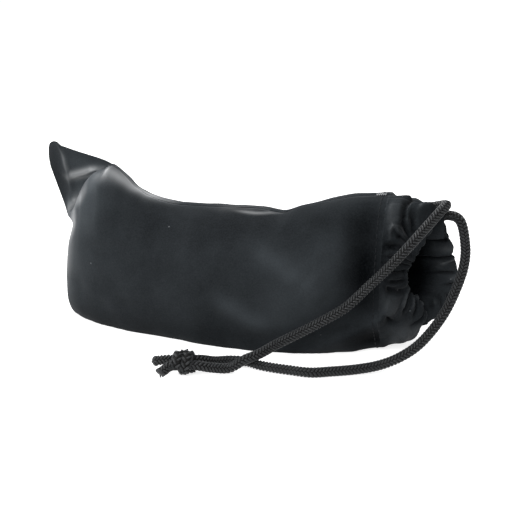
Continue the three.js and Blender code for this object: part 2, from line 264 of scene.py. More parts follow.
def seen_rays(wire):
    """1 for rays from the camera, off gloss and through glass, 0 for all others."""
    path = wire.node("ShaderNodeLightPath")
    seen = wire.math("MAXIMUM", path, path.other("Is Glossy Ray"))
    return wire.math("MAXIMUM", seen, path.other("Is Transmission Ray"))


floor_mesh = bpy.data.meshes.new("floor")
corners = [(x * FLOOR_HALF, y * FLOOR_HALF, 0) for x, y in ((-1, -1), (1, -1), (1, 1), (-1, 1))]
floor_mesh.from_pydata(corners, [], [(0, 1, 2, 3)])
place("floor", floor_mesh)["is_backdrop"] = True
paper, shader, wire = new_finish("pale_paper")
wire.fill(shader, {"Base Color": (0.7, 0.7, 0.7, 1), "Roughness": 0.9})
glow = wire.node("ShaderNodeEmission", {}, {"Color": (1, 1, 1, 1), "Strength": seen_rays(wire) * 0.8})
both = wire.node("ShaderNodeAddShader", {}, {0: Wire(wire.tree, shader.outputs[0]), 1: glow})
wire.feed(paper.node_tree.nodes["Material Output"].inputs["Surface"], both)
floor_mesh.materials.append(paper)

world = bpy.data.worlds.new("studio")
world.use_nodes = True
scene.world = world
sky = Wire(world.node_tree)
backdrop = world.node_tree.nodes["Background"]
sky.fill(backdrop, {"Color": (1, 1, 1, 1), "Strength": seen_rays(sky) * 0.82 + 0.18})
print("floor", 2 * FLOOR_HALF, "m wide, world", world.name)

# %% [markdown]
# ## Smooth lines
# A maker draws an outline through a few marks with a bent lath. `along` does the same: it bends a
# line through marks without overshooting. A spline through the same marks would bulge between them.

# %% Lines through marks


def along(points, x):
    """The height at x of a smooth line through given points, level at both ends."""
    xs, ys = np.array(points, float).T
    step = np.diff(xs)
    rise = np.diff(ys) / step
    both_ways = rise[:-1] * rise[1:]
    lean = np.zeros(len(xs))
    lean[1:-1] = np.where(both_ways > 0, 2 * both_ways / np.where(both_ways > 0, rise[:-1] + rise[1:], 1), 0)
    x = np.asarray(x, float)
    i = np.clip(np.searchsorted(xs, x, side="right") - 1, 0, len(xs) - 2)
    u = np.clip((x - xs[i]) / step[i], 0, 1)
    h = u * u * (3 - 2 * u)
    curve = (u - 2 * u * u + u**3) * lean[i] + (u**3 - u * u) * lean[i + 1]
    return ys[i] * (1 - h) + ys[i + 1] * h + curve * step[i]


def smooth(lo, hi, x):
    """0 before lo, 1 after hi, and a soft step between them."""
    u = np.clip((np.asarray(x, float) - lo) / (hi - lo), 0, 1)
    return u * u * (3 - 2 * u)


print("a test line at its middle:", float(along([[0, 0], [1, 1]], 0.5)))

# %% [markdown]
# ## A line for a cord
# A limp cord lies in even bends. `lay_cord` runs a curve through points in space whose bends don't
# depend on how far apart the points are, and cuts it into equal steps for the braid to follow.

# %% Lines in space
CORD_STEP = 0.7


def run_of(line):
    """How far along the line each of its points lies."""
    return np.concatenate([[0], np.cumsum(np.linalg.norm(np.diff(line, axis=0), axis=1))])


def lay_cord(points, step=CORD_STEP):
    """Points every step mm on a smooth curve through the given ones."""
    p = np.array(points, float)
    p = np.vstack([2 * p[0] - p[1], p, 2 * p[-1] - p[-2]])
    line = []
    for a, b, c, d in zip(p[:-3], p[1:-2], p[2:-1], p[3:]):
        r, s, q = (max(1e-4, np.linalg.norm(e - f) ** 0.5) for e, f in ((a, b), (b, c), (c, d)))
        m = ((b - a) / r - (c - a) / (r + s) + (c - b) / s) * s
        n = ((c - b) / s - (d - b) / (s + q) + (d - c) / q) * s
        u = np.linspace(0, 1, 40, endpoint=False)[:, None]
        h = u * u * (3 - 2 * u)
        line.append(b * (1 - h) + c * h + m * (u - 2 * u * u + u**3) + n * (u**3 - u * u))
    line = np.vstack(line + [p[-2:-1]])
    run = run_of(line)
    marks = np.linspace(0, run[-1], max(2, int(round(run[-1] / step)) + 1))
    return np.stack([np.interp(marks, run, line[:, k]) for k in range(3)], axis=1)


def length_of(line):
    return float(np.linalg.norm(np.diff(line, axis=0), axis=1).sum())


print("a test cord is", round(length_of(lay_cord([(0, 0, 0), (10, 0, 0), (20, 5, 0)])), 1), "mm long")

# %% [markdown]
# ## The braid's finish
# The cord is black polyester, braided from fine bundles of yarn. Each bundle is a little shiny along
# its filaments, so the finish has fine lines across every pick and a soft gloss. The lines read the
# pick's own map, which runs round and along each pick. Shade is painted at the pick's ends, where it
# dives, and on the core, whose map is zero.

# %% Braid finish
braid, shader, wire = new_finish("braided_cord")
parts = wire.node("ShaderNodeSeparateXYZ", {}, {0: wire.node("ShaderNodeUVMap", {"uv_map": "pick"})})
yarns = parts.math("SINE", parts * 75)
spot = wire.node("ShaderNodeTexCoord").other("Object")
cloudy = wire.clouds(spot, 420.0, 3.0)
worn = wire.clouds(spot, 60.0, 2.0)
length_on = parts.other("Y")
# Painted shade: 0 at a pick's ends and on the core, 1 on the middle of a pick.
painted_gap_light = wire.math("MINIMUM", length_on * (1 - length_on) * 6, 1)
shade = (cloudy * 0.5 + worn * 0.3 + yarns * 0.06) * painted_gap_light
tone = wire.ramp(shade, (0, 0.0008, 0.0009, 0.001), (0.7, 0.034, 0.037, 0.040))
ribs = wire.node("ShaderNodeBump", {}, {"Strength": 0.35, "Distance": 0.00008, "Height": yarns + cloudy})
wire.fill(shader, {"Base Color": tone, "Roughness": 0.85 - painted_gap_light * 0.45, "Normal": ribs})
wire.fill(shader, {"Specular IOR Level": 0.3, "Sheen Weight": 0.05, "Sheen Roughness": 0.4})
print("braid finish nodes:", len(braid.node_tree.nodes))

# %% [markdown]
# ## Trees that lay thread
# Braid and stitches are both many small grains of yarn along a line, so their two Geometry Nodes
# trees start and end alike. One helper opens a tree with named inputs, one makes the grain, and one
# closes the tree with real faces, smooth shading and the finish.

# %% Helpers for trees


def new_tree(name, sizes):
    """A Geometry Nodes tree with named number inputs, a material input, and its input wires."""
    tree = bpy.data.node_groups.new(name, "GeometryNodeTree")
    tree.is_modifier = True
    tree.interface.new_socket("Geometry", in_out="INPUT", socket_type="NodeSocketGeometry")
    for size in sizes:
        tree.interface.new_socket(size, in_out="INPUT", socket_type="NodeSocketFloat")
    tree.interface.new_socket("Finish", in_out="INPUT", socket_type="NodeSocketMaterial")
    tree.interface.new_socket("Geometry", in_out="OUTPUT", socket_type="NodeSocketGeometry")
    start = Wire(tree).node("NodeGroupInput")
    return tree, {socket.name: Wire(tree, socket) for socket in start.socket.node.outputs if socket.name}


def close_tree(wire, geometry, finish):
    """Every tree ends alike: real faces, smooth shading and the finish."""
    real = wire.node("GeometryNodeRealizeInstances", {}, {0: geometry})
    soft = wire.node("GeometryNodeSetShadeSmooth", {}, {0: real})
    done = wire.node("GeometryNodeSetMaterial", {}, {"Geometry": soft, "Material": finish})
    wire.node("NodeGroupOutput", {}, {0: done})


print("trees can be opened and closed")

# %% [markdown]
# ## One grain of yarn
# A pick of the braid and a stitch look alike from near: a short stretch of yarn that comes up, lies
# flat and dives again. A small stretched ball shows just that, with few faces. The other helpers walk
# along a line and turn a grain so that it lies flat.

# %% Grains on a line


def grain(wire, long, wide, high):
    """One pick or stitch: a small pointed grain lying along X, with its own map."""
    ball = wire.node("GeometryNodeMeshUVSphere", {}, {"Segments": 6, "Rings": 4, "Radius": 0.5})
    mapped = wire.node(
        "GeometryNodeStoreNamedAttribute",
        {"data_type": "FLOAT2", "domain": "CORNER"},
        {"Geometry": ball, "Name": "pick", "Value": ball.other("UV Map")},
    )
    lying = wire.node("GeometryNodeTransform", {}, {"Geometry": mapped, "Rotation": (0, math.pi / 2, 0)})
    size = wire.node("ShaderNodeCombineXYZ", {}, {0: long, 1: wide, 2: high})
    return wire.node("GeometryNodeTransform", {}, {"Geometry": lying, "Scale": size})


def steps_on_line(wire, given, step):
    """The input line as a curve cut into equal steps, and the points at its cuts."""
    line = wire.node("GeometryNodeMeshToCurve", {}, {0: given["Geometry"]})
    rows = wire.node("GeometryNodeResampleCurve", {"mode": "LENGTH"}, {"Curve": line, "Length": step})
    return rows, wire.node("GeometryNodeCurveToPoints", {"mode": "EVALUATED"}, {0: rows})


def facing_out(wire, outward, tangent, angle):
    """A turn that lays a grain along the line, flat on the cloth or core, swung by an angle."""
    axes = {"primary_axis": "Z", "secondary_axis": "X"}
    facing = wire.node("FunctionNodeAxesToRotation", axes, {0: outward, 1: tangent})
    twist = wire.node("FunctionNodeAxisAngleToRotation", {}, {"Axis": (0, 0, 1), "Angle": angle})
    return wire.node("FunctionNodeRotateRotation", {"rotation_space": "LOCAL"}, {0: facing, 1: twist})


print("grains ready, trees so far:", len(bpy.data.node_groups))

# %% [markdown]
# ## Braiding a cord
# A braid could be drawn on a smooth tube as a picture, but its outline would stay smooth. Here each
# pick, the short stretch of yarn that shows before it dives under the next, is a small grain of its
# own. Geometry Nodes walk along the cord's line, set columns of picks round it, lean neighbouring
# columns opposite ways, and add a core below them, which the finish paints dark as shade. The row and
# column numbers decide which places get a pick, so the columns step past each other as in a real braid.

# %% Braiding tree
BRAID_SIZES = ["Pitch", "Core", "Lift", "Pick Length", "Pick Width", "Pick Height", "Lean", "Columns"]
braiding, given = new_tree("braiding", BRAID_SIZES)
wire = given["Pitch"]
rows, dots = steps_on_line(wire, given, given["Pitch"] * 0.5)
tangent = dots.other("Tangent")
doubled = {"Geometry": dots, "Amount": given["Columns"]}
ring = wire.node("GeometryNodeDuplicateElements", {"domain": "POINT"}, doubled)
column = ring.other("Duplicate Index")
row = wire.math("FLOOR", wire.node("GeometryNodeInputIndex") / given["Columns"])
angle = (column + 0.5) * (2 * math.pi) / given["Columns"]
sideways = wire.vector("CROSS_PRODUCT", {0: tangent, 1: (0.2, -0.85, 0.45)})
across = wire.vector("NORMALIZE", {0: sideways})
normal = wire.vector("CROSS_PRODUCT", {0: across, 1: tangent})
part_a = wire.vector("SCALE", {0: normal, "Scale": wire.math("COSINE", angle)})
part_b = wire.vector("SCALE", {0: across, "Scale": wire.math("SINE", angle)})
outward = wire.vector("ADD", {0: part_a, 1: part_b})
lifted = wire.vector("SCALE", {0: outward, "Scale": given["Lift"]})
placed = wire.node("GeometryNodeSetPosition", {}, {"Geometry": ring, "Offset": lifted})
leaning = facing_out(wire, outward, tangent, given["Lean"] * (1 - (column % 2) * 2))
chosen = wire.math("LESS_THAN", (row + column) % 2, 0.5)
pick = grain(wire, given["Pick Length"], given["Pick Width"], given["Pick Height"])
laid = {"Points": placed, "Selection": chosen, "Instance": pick, "Rotation": leaning}
picks = wire.node("GeometryNodeInstanceOnPoints", {}, laid)
core_size = {"Resolution": 10, "Radius": given["Core"]}
round_end = wire.node("GeometryNodeCurvePrimitiveCircle", {"mode": "RADIUS"}, core_size)
core = wire.node("GeometryNodeCurveToMesh", {}, {"Curve": rows, "Profile Curve": round_end, "Fill Caps": True})
joined = wire.node("GeometryNodeJoinGeometry", {}, {0: core})
wire.tree.links.new(picks.socket, joined.socket.node.inputs[0])
close_tree(wire, joined, given["Finish"])
print("braiding tree nodes:", len(braiding.nodes))

# %% [markdown]
# ## Growing a tree on a line
# A tree needs an object to run on. A thin rail of points carries it, the result is taken off as a
# plain mesh, and the rail is thrown away. So every piece ends as a mesh with its place in its points.

# %% Growing cords


def grow(name, line, tree, sizes, finish, vectors=None):
    """Runs a tree on a line of points (mm) and returns the result as a plain mesh piece."""
    rail = bpy.data.meshes.new(name)
    points = [tuple(p * MM) for p in np.asarray(line, float)]
    rail.from_pydata(points, [(i, i + 1) for i in range(len(points) - 1)], [])
    if vectors is not None:
        held = rail.attributes.new("outward", "FLOAT_VECTOR", "POINT")
        held.data.foreach_set("vector", np.asarray(vectors, np.float32).ravel())
    helper = place(name + "_line", rail)
    modifier = helper.modifiers.new("grow", "NODES")
    modifier.node_group = tree
    keys = {item.name: item.identifier for item in tree.interface.items_tree if item.in_out == "INPUT"}
    for key, value in sizes.items():
        modifier[keys[key]] = float(value)
    modifier[keys["Finish"]] = finish
    bpy.context.view_layer.update()
    whole = helper.evaluated_get(bpy.context.evaluated_depsgraph_get())
    mesh = bpy.data.meshes.new_from_object(whole)
    mesh.name = name
    bpy.data.objects.remove(helper)
    return place(name, mesh)


print("rails can grow trees")

# %% [markdown]
# ## The cord's measures
# The cord is 4.5 mm thick. Core and picks grow with it, so a thinner or fatter stretch of cord, as in
# the knot, keeps nearly the same pattern.

# %% A braided cord
CORD = 4.5
RADIUS = CORD / 2
COLUMNS = 6


def braid_cord(name, line, thick=1.0):
    """A braided cord along a line, as thick as the real one times thick."""
    sizes = {
        "Pitch": 1.55 * MM,
        "Core": 0.34 * CORD * thick * MM,
        "Lift": 0.388 * CORD * thick * MM,
        "Pick Length": 2.75 * thick * MM,
        "Pick Width": 0.86 * thick * MM,
        "Pick Height": 1.0 * thick * MM,
        "Lean": math.radians(47),
        "Columns": COLUMNS,
    }
    piece = grow(name, line, braiding, sizes, braid)
    print(name, "length", round(length_of(line), 1), "mm, faces", len(piece.data.polygons))
    return piece


print("cord", CORD, "mm thick,", COLUMNS, "columns of picks")

# %% [markdown]
# ## Laying the loose cord
# Both strands leave the casing at the top of the mouth. One turns sharply, crosses the front and lies
# over the other one; the second falls round the side and runs along the floor. They meet in the knot.
# A simulation could drop a limp cord, but it would not lie as it was found. So the route is marked
# one by one, with the marks of the solid model, taken from the rim, the front and the slit's height.

# %% Places on the route
HALF_DEPTH, RING_HEART, RING_TALL, RING_WIDE = 22, 36.0, 30.2, 16.36
SLIT_TOP = RING_HEART + RING_TALL * 0.91
KNOT_HALF = CORD * 1.25


def from_mouth(x, y, z):
    """x from the rim, y from the front, z as a share of the slit's height."""
    return (X_RIM + x, y - HALF_DEPTH + SIDEWAYS, RADIUS + 0.2 + (SLIT_TOP - RADIUS) * z)


def in_slit(x, y, z):
    """x from the rim, y from the middle plane, z from the top of the slit."""
    return (X_RIM + x, bow(X_RIM + x) + y, SLIT_TOP + z)


knot_heart = np.array(from_mouth(-102.5, -33.2, 0))
knot_heart[2] = RADIUS * 2.5 + 0.1
knot_along = np.array([-0.95, -0.31, 0]) / math.hypot(0.95, 0.31)
knot_across = np.array([-0.31, 0.95, 0]) / math.hypot(0.95, 0.31)


def near_knot(a, b, z):
    """a along the knot, b across it, z above its heart."""
    return tuple(knot_heart + knot_along * a + knot_across * b + np.array([0, 0, z]))


print("slit top at", round(SLIT_TOP, 1), "knot at", knot_heart.round(1))

# %% [markdown]
# ## The two routes
# Two marks lead each strand back into its tunnel, a few bend it out of the slit, and the rest lie on
# the cloth and the floor. The last two lead it into the knot. Where the front strand crosses the other
# one its mark is raised by a little more than one thickness.

# %% Marks of the routes
over = (CORD + 0.6) / (SLIT_TOP - RADIUS)
rim_plane = bow(X_RIM)
front_marks = [in_slit(*m) for m in [(-17, -6, -7.5), (-14.2, -2.6, -2.4), (-11, 0, 1.35), (-7.8, 0, 1.55)]]
front_marks += [
    (X_RIM - x, rim_plane - y, SLIT_TOP + RADIUS + z)
    for x, y, z in [(4.4, 1.8, 0.2), (1.7, 3.8, 1.4), (1.0, 7.4, 2.2)]
]
front_marks += [
    from_mouth(*mark)
    for mark in [
        (-2.8, 14.4, 1.045), (-6.3, 8.9, 0.983), (-13, -0.2, 0.861), (-20.5, -3.2, 0.718),
        (-28.7, -3.7, 0.57), (-38.7, -6.0, 0.4), (-49.1, -7.8, 0.285), (-59.7, -9.6, 0.18),
        (-67, -13, 0.12), (-73.1, -20.6, over), (-78.1, -24.4, 0.06), (-84, -27.2, 0.005),
        (-90, -30.4, 0.015),
    ]
]
front_marks += [near_knot(-KNOT_HALF - CORD * 0.24, -RADIUS - 0.6, -0.6), near_knot(-1.5, -1.6, -0.2)]
side_marks = [in_slit(*m) for m in [(-17, 6, -8), (-14.2, 2.6, -5), (-11, 0, -3.55), (-6, 0, -3.25)]]
side_marks += [(X_RIM - 0.6, rim_plane - 0.6, SLIT_TOP - 2.0)]
side_marks += [
    from_mouth(*mark)
    for mark in [
        (4.9, 23, 0.955), (8.4, 18, 0.8), (8.9, 14, 0.7), (7.7, 10, 0.59), (2.5, 2, 0.37),
        (-6.4, -5, 0.175), (-13.7, -8.6, 0.09), (-22.3, -10.5, 0.025), (-31.9, -14.6, 0.003),
        (-41.8, -19.1, 0), (-49.7, -22.4, 0), (-58.5, -22.3, 0), (-67.5, -21.6, 0), (-73.2, -20.5, 0),
        (-79.7, -18.2, 0), (-86.4, -19.4, 0.002), (-92, -23.2, 0.012),
    ]
]
side_marks += [near_knot(-KNOT_HALF - CORD * 0.24, RADIUS + 0.6, -0.2), near_knot(-1.5, 1.6, 0.2)]
print("marks:", len(front_marks), "and", len(side_marks))

# %% [markdown]
# ## The two strands
# On the real pouch they are the two ends of one cord, whose middle is hidden in the casing. Here each
# is a piece of its own, so that each has its own length and its own way out of the slit.

# %% Strands
front_line, side_line = lay_cord(front_marks), lay_cord(side_marks)
strand_front = braid_cord("strand_front", front_line)
strand_side = braid_cord("strand_side", side_line)
print("points on the strands:", len(front_line), "and", len(side_line))

# %% [markdown]
# ## The overhand knot
# Both strands are tied together in one overhand knot. What shows is two fat turns of cord round the
# strands. The true path could be traced, but most of it is hidden, so the knot is a cord of its own
# laid in a close spiral, a little thicker than the rest and with its ends tucked in.

# %% Knot
KNOT_TURNS, KNOT_START, KNOT_THICK, TUCKED = 2.15, 0.53, 1.2, 0.9
around = np.linspace(0, 1, 90)
spiral = 2 * math.pi * (KNOT_TURNS * around + KNOT_START)
tuck = smooth(0, 0.16, around) * smooth(1, 0.86, around)
spread = TUCKED + (CORD * 0.69 - TUCKED) * tuck
shift = along([[0, -4.4], [0.2, -2.6], [0.5, -0.1], [0.8, 2.3], [1, 3.8]], around)
knot_line = [
    knot_heart + knot_along * s + knot_across * (r * math.cos(w)) + np.array([0, 0, r * math.sin(w)])
    for s, r, w in zip(shift, spread, spiral)
]
knot = braid_cord("knot", knot_line, KNOT_THICK)
print("knot with", KNOT_TURNS, "turns")

# %% [markdown]
# ## The cut tails
# The two ends of the cord come out at the far side of the knot and spread a little. They are short
# lines of the same braid, which start inside the knot.

# %% Tails
TAIL = 11
tail_marks = {
    "tail_a": [
        near_knot(1.5, 1.2, 0.4),
        near_knot(KNOT_HALF + CORD * 0.2, RADIUS + 0.3, 0.3),
        near_knot(KNOT_HALF + TAIL * 0.4, CORD * 0.8, -0.4),
        near_knot(KNOT_HALF + TAIL * 0.62, CORD * 1.05, -1.2),
    ],
    "tail_b": [
        near_knot(1.5, -1.2, -0.4),
        near_knot(KNOT_HALF + CORD * 0.24, -RADIUS - 0.3, -0.8),
        near_knot(KNOT_HALF + TAIL * 0.25, -CORD * 0.85, -1.6),
        near_knot(KNOT_HALF + TAIL * 0.42, -CORD * 1.2, -2.2),
    ],
}
tail_lines = {name: lay_cord(marks) for name, marks in tail_marks.items()}
tails = {name: braid_cord(name, line) for name, line in tail_lines.items()}
print("tails:", list(tails))

# %% [markdown]
# ## A piece from points and faces
# Cloth and the melted cord ends are made point by point. One helper turns points and faces into a
# smooth mesh piece. It can also hold a flat map, which tells the finish where on the cloth a point
# lies, and values at the points, which tell it how worn the cloth is there and how much highlight and
# shade is painted on.

# %% Mesh pieces


def mesh_piece(name, points, faces, finish, map_name, flat=None, values=None):
    """A smooth mesh piece from points in mm, with a flat map and values for each point."""
    mesh = bpy.data.meshes.new(name)
    mesh.from_pydata((np.asarray(points) * MM).tolist(), [], faces)
    mesh.polygons.foreach_set("use_smooth", [True] * len(faces))
    layer = mesh.uv_layers.new(name=map_name)
    if flat is not None:
        corner = np.zeros(len(mesh.loops), int)
        mesh.loops.foreach_get("vertex_index", corner)
        layer.data.foreach_set("uv", flat[corner].ravel())
    for word, at_points in (values or {}).items():
        held = mesh.attributes.new(word, "FLOAT", "POINT")
        held.data.foreach_set("value", at_points.astype(np.float32))
    mesh.materials.append(finish)
    return place(name, mesh)


print("mesh pieces hold values for:", ["rub", "taut"])

# %% [markdown]
# ## The melted ends
# The cut ends were melted so that they don't fray. A small uneven dome closes each, and the second
# one was cut at a slant. A ball pushed into the end would look too neat, so the rings are lumpy.

# %% Melted ends
DOME = [(-0.9, 0.9), (-0.3, 1.0), (0.2, 0.97), (0.65, 0.82), (0.95, 0.52), (1.05, 0.2)]
DOME_STEPS = 20
n = DOME_STEPS
dome_faces = [
    (i * n + k, i * n + (k + 1) % n, (i + 1) * n + (k + 1) % n, (i + 1) * n + k)
    for i in range(len(DOME) - 1)
    for k in range(n)
]
dome_faces += [tuple(range((len(DOME) - 1) * n, len(DOME) * n)), tuple(range(n - 1, -1, -1))]


def melted_end(name, line, slant):
    """A small uneven dome over the cut end of a cord."""
    ahead = line[-1] - line[-2]
    ahead /= np.linalg.norm(ahead)
    side_way = np.cross(ahead, (0, 0, 1))
    side_way /= np.linalg.norm(side_way)
    up_way = np.cross(side_way, ahead)
    points = []
    for reach_on, wide in DOME:
        for w in 2 * math.pi * np.arange(DOME_STEPS) / DOME_STEPS:
            lump = 1 + 0.06 * noise.noise(Vector((math.cos(w) * 2, math.sin(w) * 2, reach_on * 3)))
            r = RADIUS * wide * lump
            on = reach_on + slant * math.sin(w) * wide * RADIUS
            points.append(line[-1] + ahead * on + side_way * r * math.cos(w) + up_way * r * math.sin(w))
    return mesh_piece(name, points, dome_faces, braid, "pick")


SLANTS = {"tail_a": 0.0, "tail_b": 0.5}
ends = [melted_end(name + "_end", tail_lines[name], slant) for name, slant in SLANTS.items()]
print("melted ends:", [end.name for end in ends])

# %% [markdown]
# ## The loose cord on its own body
# In the solid model the loose cord is one body that slides out of the mouth. All its pieces ride on
# that body and replace its solids.

# %% The loose cord rides on its own body
knot_things = [knot, *tails.values(), *ends]
for piece in [strand_front, strand_side, *knot_things]:
    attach(piece, "drawcord")
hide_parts("drawcord_front_strand")
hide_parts("drawcord_side_strand")
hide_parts("drawcord_knot")
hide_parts("drawcord_tail_a")
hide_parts("drawcord_tail_b")
for piece, line, extra in ((strand_front, front_line, knot_things), (strand_side, side_line, [])):
    tuple(line[0] * MM)
    [tuple(p * MM) for p in line[::2]] + [tuple(line[-1] * MM)]
print("loose cord:", round(length_of(front_line) + length_of(side_line)), "mm in two strands")

# %% [markdown]
# ## The cloth's finish
# Microfibre is a very fine, dense cloth with a short nap. From afar it is almost black and dull, yet
# it turns grey where one looks along the nap, which is what the shader's sheen does. Close up there
# are fine diagonal lines of the weave, cloudy patches where the nap lies another way, a little lint,
# and paler rubbed edges. Highlights and shade are also painted into the colour. Where the cloth is
# stretched over the filling its nap is pressed flat and shines, so only there it gets a coat. The
# rubbed places together with the painted highlights and shade, and the taut places, are values that
# the pieces carry at their points.

# %% Cloth finish
TWILL_STEP, THREAD_STEP = 0.0007, 0.00042
cloth, shader, wire = new_finish("microfibre_cloth")
spot = wire.node("ShaderNodeTexCoord").other("Object")
flat_map = wire.node("ShaderNodeSeparateXYZ", {}, {0: wire.node("ShaderNodeUVMap", {"uv_map": "cloth"})})
warp, weft = flat_map.other("X"), flat_map.other("Y")
twill = wire.math("SINE", (warp + weft) * (2 * math.pi / TWILL_STEP))
threads = wire.math("SINE", (warp - weft) * (2 * math.pi / THREAD_STEP))
weave = twill * 0.6 + threads * 0.4
patches = wire.clouds(spot, 34.0, 4.0, 0.6)
fuzz = wire.clouds(spot, 1500.0, 2.0)
lint_cells = wire.node("ShaderNodeTexVoronoi", {}, {"Vector": spot, "Scale": 95.0}, "Distance")
lint = wire.math("LESS_THAN", lint_cells, 0.036) * wire.math("GREATER_THAN", wire.clouds(spot, 27.0, 0.0), 0.55)
# This value holds the rubbed edges and also painted highlights and painted shade, which lighten or darken the
# colour.
rubbed = wire.node("ShaderNodeAttribute", {"attribute_name": "rub"}, {}, "Fac")
shade = patches * 0.55 + fuzz * 0.3 + weave * 0.03 + rubbed * 0.3
tone = wire.ramp(shade, (0, 0.002, 0.0025, 0.003), (1, 0.049, 0.056, 0.062))
pale_lint = {0: lint * 0.55, 6: tone, 7: (0.16, 0.17, 0.18, 1)}
dusty = wire.node("ShaderNodeMix", {"data_type": "RGBA"}, pale_lint, 2)
rough = 0.44 + patches * 0.16 - rubbed * 0.05
height = weave * 0.25 + fuzz * 0.9
nap = wire.node("ShaderNodeBump", {}, {"Strength": 0.3, "Distance": 0.00006, "Height": height})
taut = wire.node("ShaderNodeAttribute", {"attribute_name": "taut"}, {}, "Fac")
coat = taut * (patches * 0.4 + 0.8)
wire.fill(shader, {"Base Color": dusty, "Roughness": rough, "Normal": nap, "Coat Weight": coat})
wire.fill(shader, {"Coat Roughness": 0.48, "Coat IOR": 2.0, "Specular IOR Level": 0.0})
wire.fill(shader, {"Sheen Weight": 0.12, "Sheen Roughness": 0.42, "Sheen Tint": (0.93, 0.96, 1, 1)})
print("cloth finish nodes:", len(cloth.node_tree.nodes))

# %% [markdown]
# ## The outline of the stuffed body
# A bag like this is sewn flat and then filled, so it is modelled as a loft: at each place along the
# length there is a height, a depth and a soft oval between them. At the upper corner the filling
# doesn't reach the seam, so a flat ear of doubled cloth stands up behind a rounded shoulder. A cloth
# simulation would need the unseen filling. The lines below are those of the solid model.

# %% Lines of the body
HEIGHT = 60


def portion(x):
    return (x - X_TIP) / (X_SEAM - X_TIP)


def low_line(x):
    return HEIGHT * along([[0, -0.05], [0.35, -0.07], [0.75, -0.07], [1, 0.03]], portion(x))


def depth_line(x):
    return 1 + HALF_DEPTH * along([[0, 0.92], [0.3, 1], [0.6, 1.06], [0.8, 1.04], [1, 0.88]], portion(x))


print("lower edge in the middle:", round(float(low_line(0)), 1), "half depth:", round(float(depth_line(0)), 1))

# %% [markdown]
# ## Ridge, shoulder and sewn end
# Three more lines make the upper corner. The ridge is the upper seam, the shoulder is where the
# filling ends below it, and the sewn end bulges, is nipped in and runs out to the ear's tip.

# %% Ridge, shoulder and sewn end


def ridge_line(x):
    """The upper seam: a blunt ear at the sewn end, a level back, a rise to the mouth."""
    marks = [
        [-97, 80.8], [-94.6, 81.4], [-92, 81.8], [-89.5, 82], [-86.6, 80.6], [-78.9, 79], [-72.2, 77.9],
        [-65.6, 76.7], [-61.7, 75.5], [-59.1, 74], [-54.1, 69.7], [-50.3, 65.9], [-46.5, 63.9],
        [-43.3, 62.3], [-33.9, 59.9], [-27.7, 59.4], [-3.5, 59.8], [10, 59.9], [19, 59.6], [28, 62.9],
        [36.8, 65.4], [45.5, 67.6], [54, 69.2], [67, 70.2],
    ]
    return along(marks, x)


def shoulder_line(x):
    """Where the filling ends: below the ridge in the ear, at the ridge everywhere else."""
    marks = [
        [-93, 44], [-84, 48], [-80, 52.5], [-77, 57.7], [-74, 63], [-72, 67.3], [-68, 70.5], [-64, 73],
        [-60, 78], [-52, 90],
    ]
    filled, ridge = along(marks, x), ridge_line(x)
    return (filled + ridge - np.sqrt((filled - ridge) ** 2 + 4)) / 2


def end_at(z):
    """Where the sewn end lies at height z: full low down, nipped in below the ear, far out at its tip."""
    marks = [
        [0, -82.4], [2, -84.5], [8, -85.5], [22, -85.3], [34, -84.3], [40.5, -82.6], [43.4, -81.9],
        [48, -85.0], [54, -88.2], [61.5, -92.2], [70, -95.7], [74.5, -96.1], [77.5, -95.8], [79.6, -95.1],
        [81, -93.8], [82.3, -91.5],
    ]
    return along(marks, z)


ear_top, shoulder_top = float(ridge_line(X_TIP)), float(shoulder_line(-62))
print("ear stands to", round(ear_top, 1), "mm, shoulder to", round(shoulder_top, 1))

# %% [markdown]
# ## The oval at each place
# A point of a panel is named by two shares: t from the lower seam to the upper one, and v from the
# sewn end to the casing. Up to the shoulder t runs round the oval, and above it up the flat ear.

# %% The oval


def power(x, p):
    return np.sign(x) * np.abs(x) ** p


def rise_at(t, x):
    """Height of the cloth at share t, and how far round the oval and up the ear that is."""
    shoulder, ridge, low = shoulder_line(x), ridge_line(x), low_line(x)
    ear_share = 0.4 * (ridge - shoulder) / (ridge - shoulder + 12)
    split = 1 - ear_share
    s = np.clip(t / split, 0, 1)
    f = np.where(ear_share > 1e-4, np.clip((t - split) / np.maximum(ear_share, 1e-4), 0, 1), 0)
    bend = math.pi * (s - 0.5)
    at_mouth, at_shoulder = smooth(X_SEAM - 18, X_SEAM - 1, x), smooth(-40, -60, x) * smooth(0.5, 0.7, s)
    firm = 0.85 + 0.15 * np.maximum(at_mouth, at_shoulder)
    z = (low + shoulder) / 2 + (shoulder - low) / 2 * power(np.sin(bend), firm)
    return z + (ridge - shoulder) * f, s, f


print("middle of the oval:", round(float(rise_at(np.array(0.5), np.array(0.0))[0]), 1), "mm high")

# %% [markdown]
# ## A point of the body
# The oval swells from the sewn end over a short run. A power makes it fuller or leaner, so that the
# front can be full in the middle and lean back near the upper edge.

# %% Points of the body
PUFF_RUN = 26


def lean_at(side, x, s):
    """How much leaner the oval is at x and share s: top and bottom of the front, top of the back."""
    if side > 0:
        return along([[-93, 0.5], [-55, 0.45], [-30, 0.15], [20, 0.15], [60, 0]], x) * smooth(0.5, 0.8, s)
    marks = [
        [-93, 0], [-64, 0], [-57, -0.1], [-50, -0.06], [-42, 0.12], [-30, 0.3], [10, 0.35], [45, 0.2],
        [60, 0],
    ]
    low = along([[-93, 0], [-40, 0.1], [15, 0.36], [42, 0.3], [64, 0]], x) * smooth(0.42, 0.18, s)
    return along(marks, x) * smooth(0.45, 0.75, s) - low


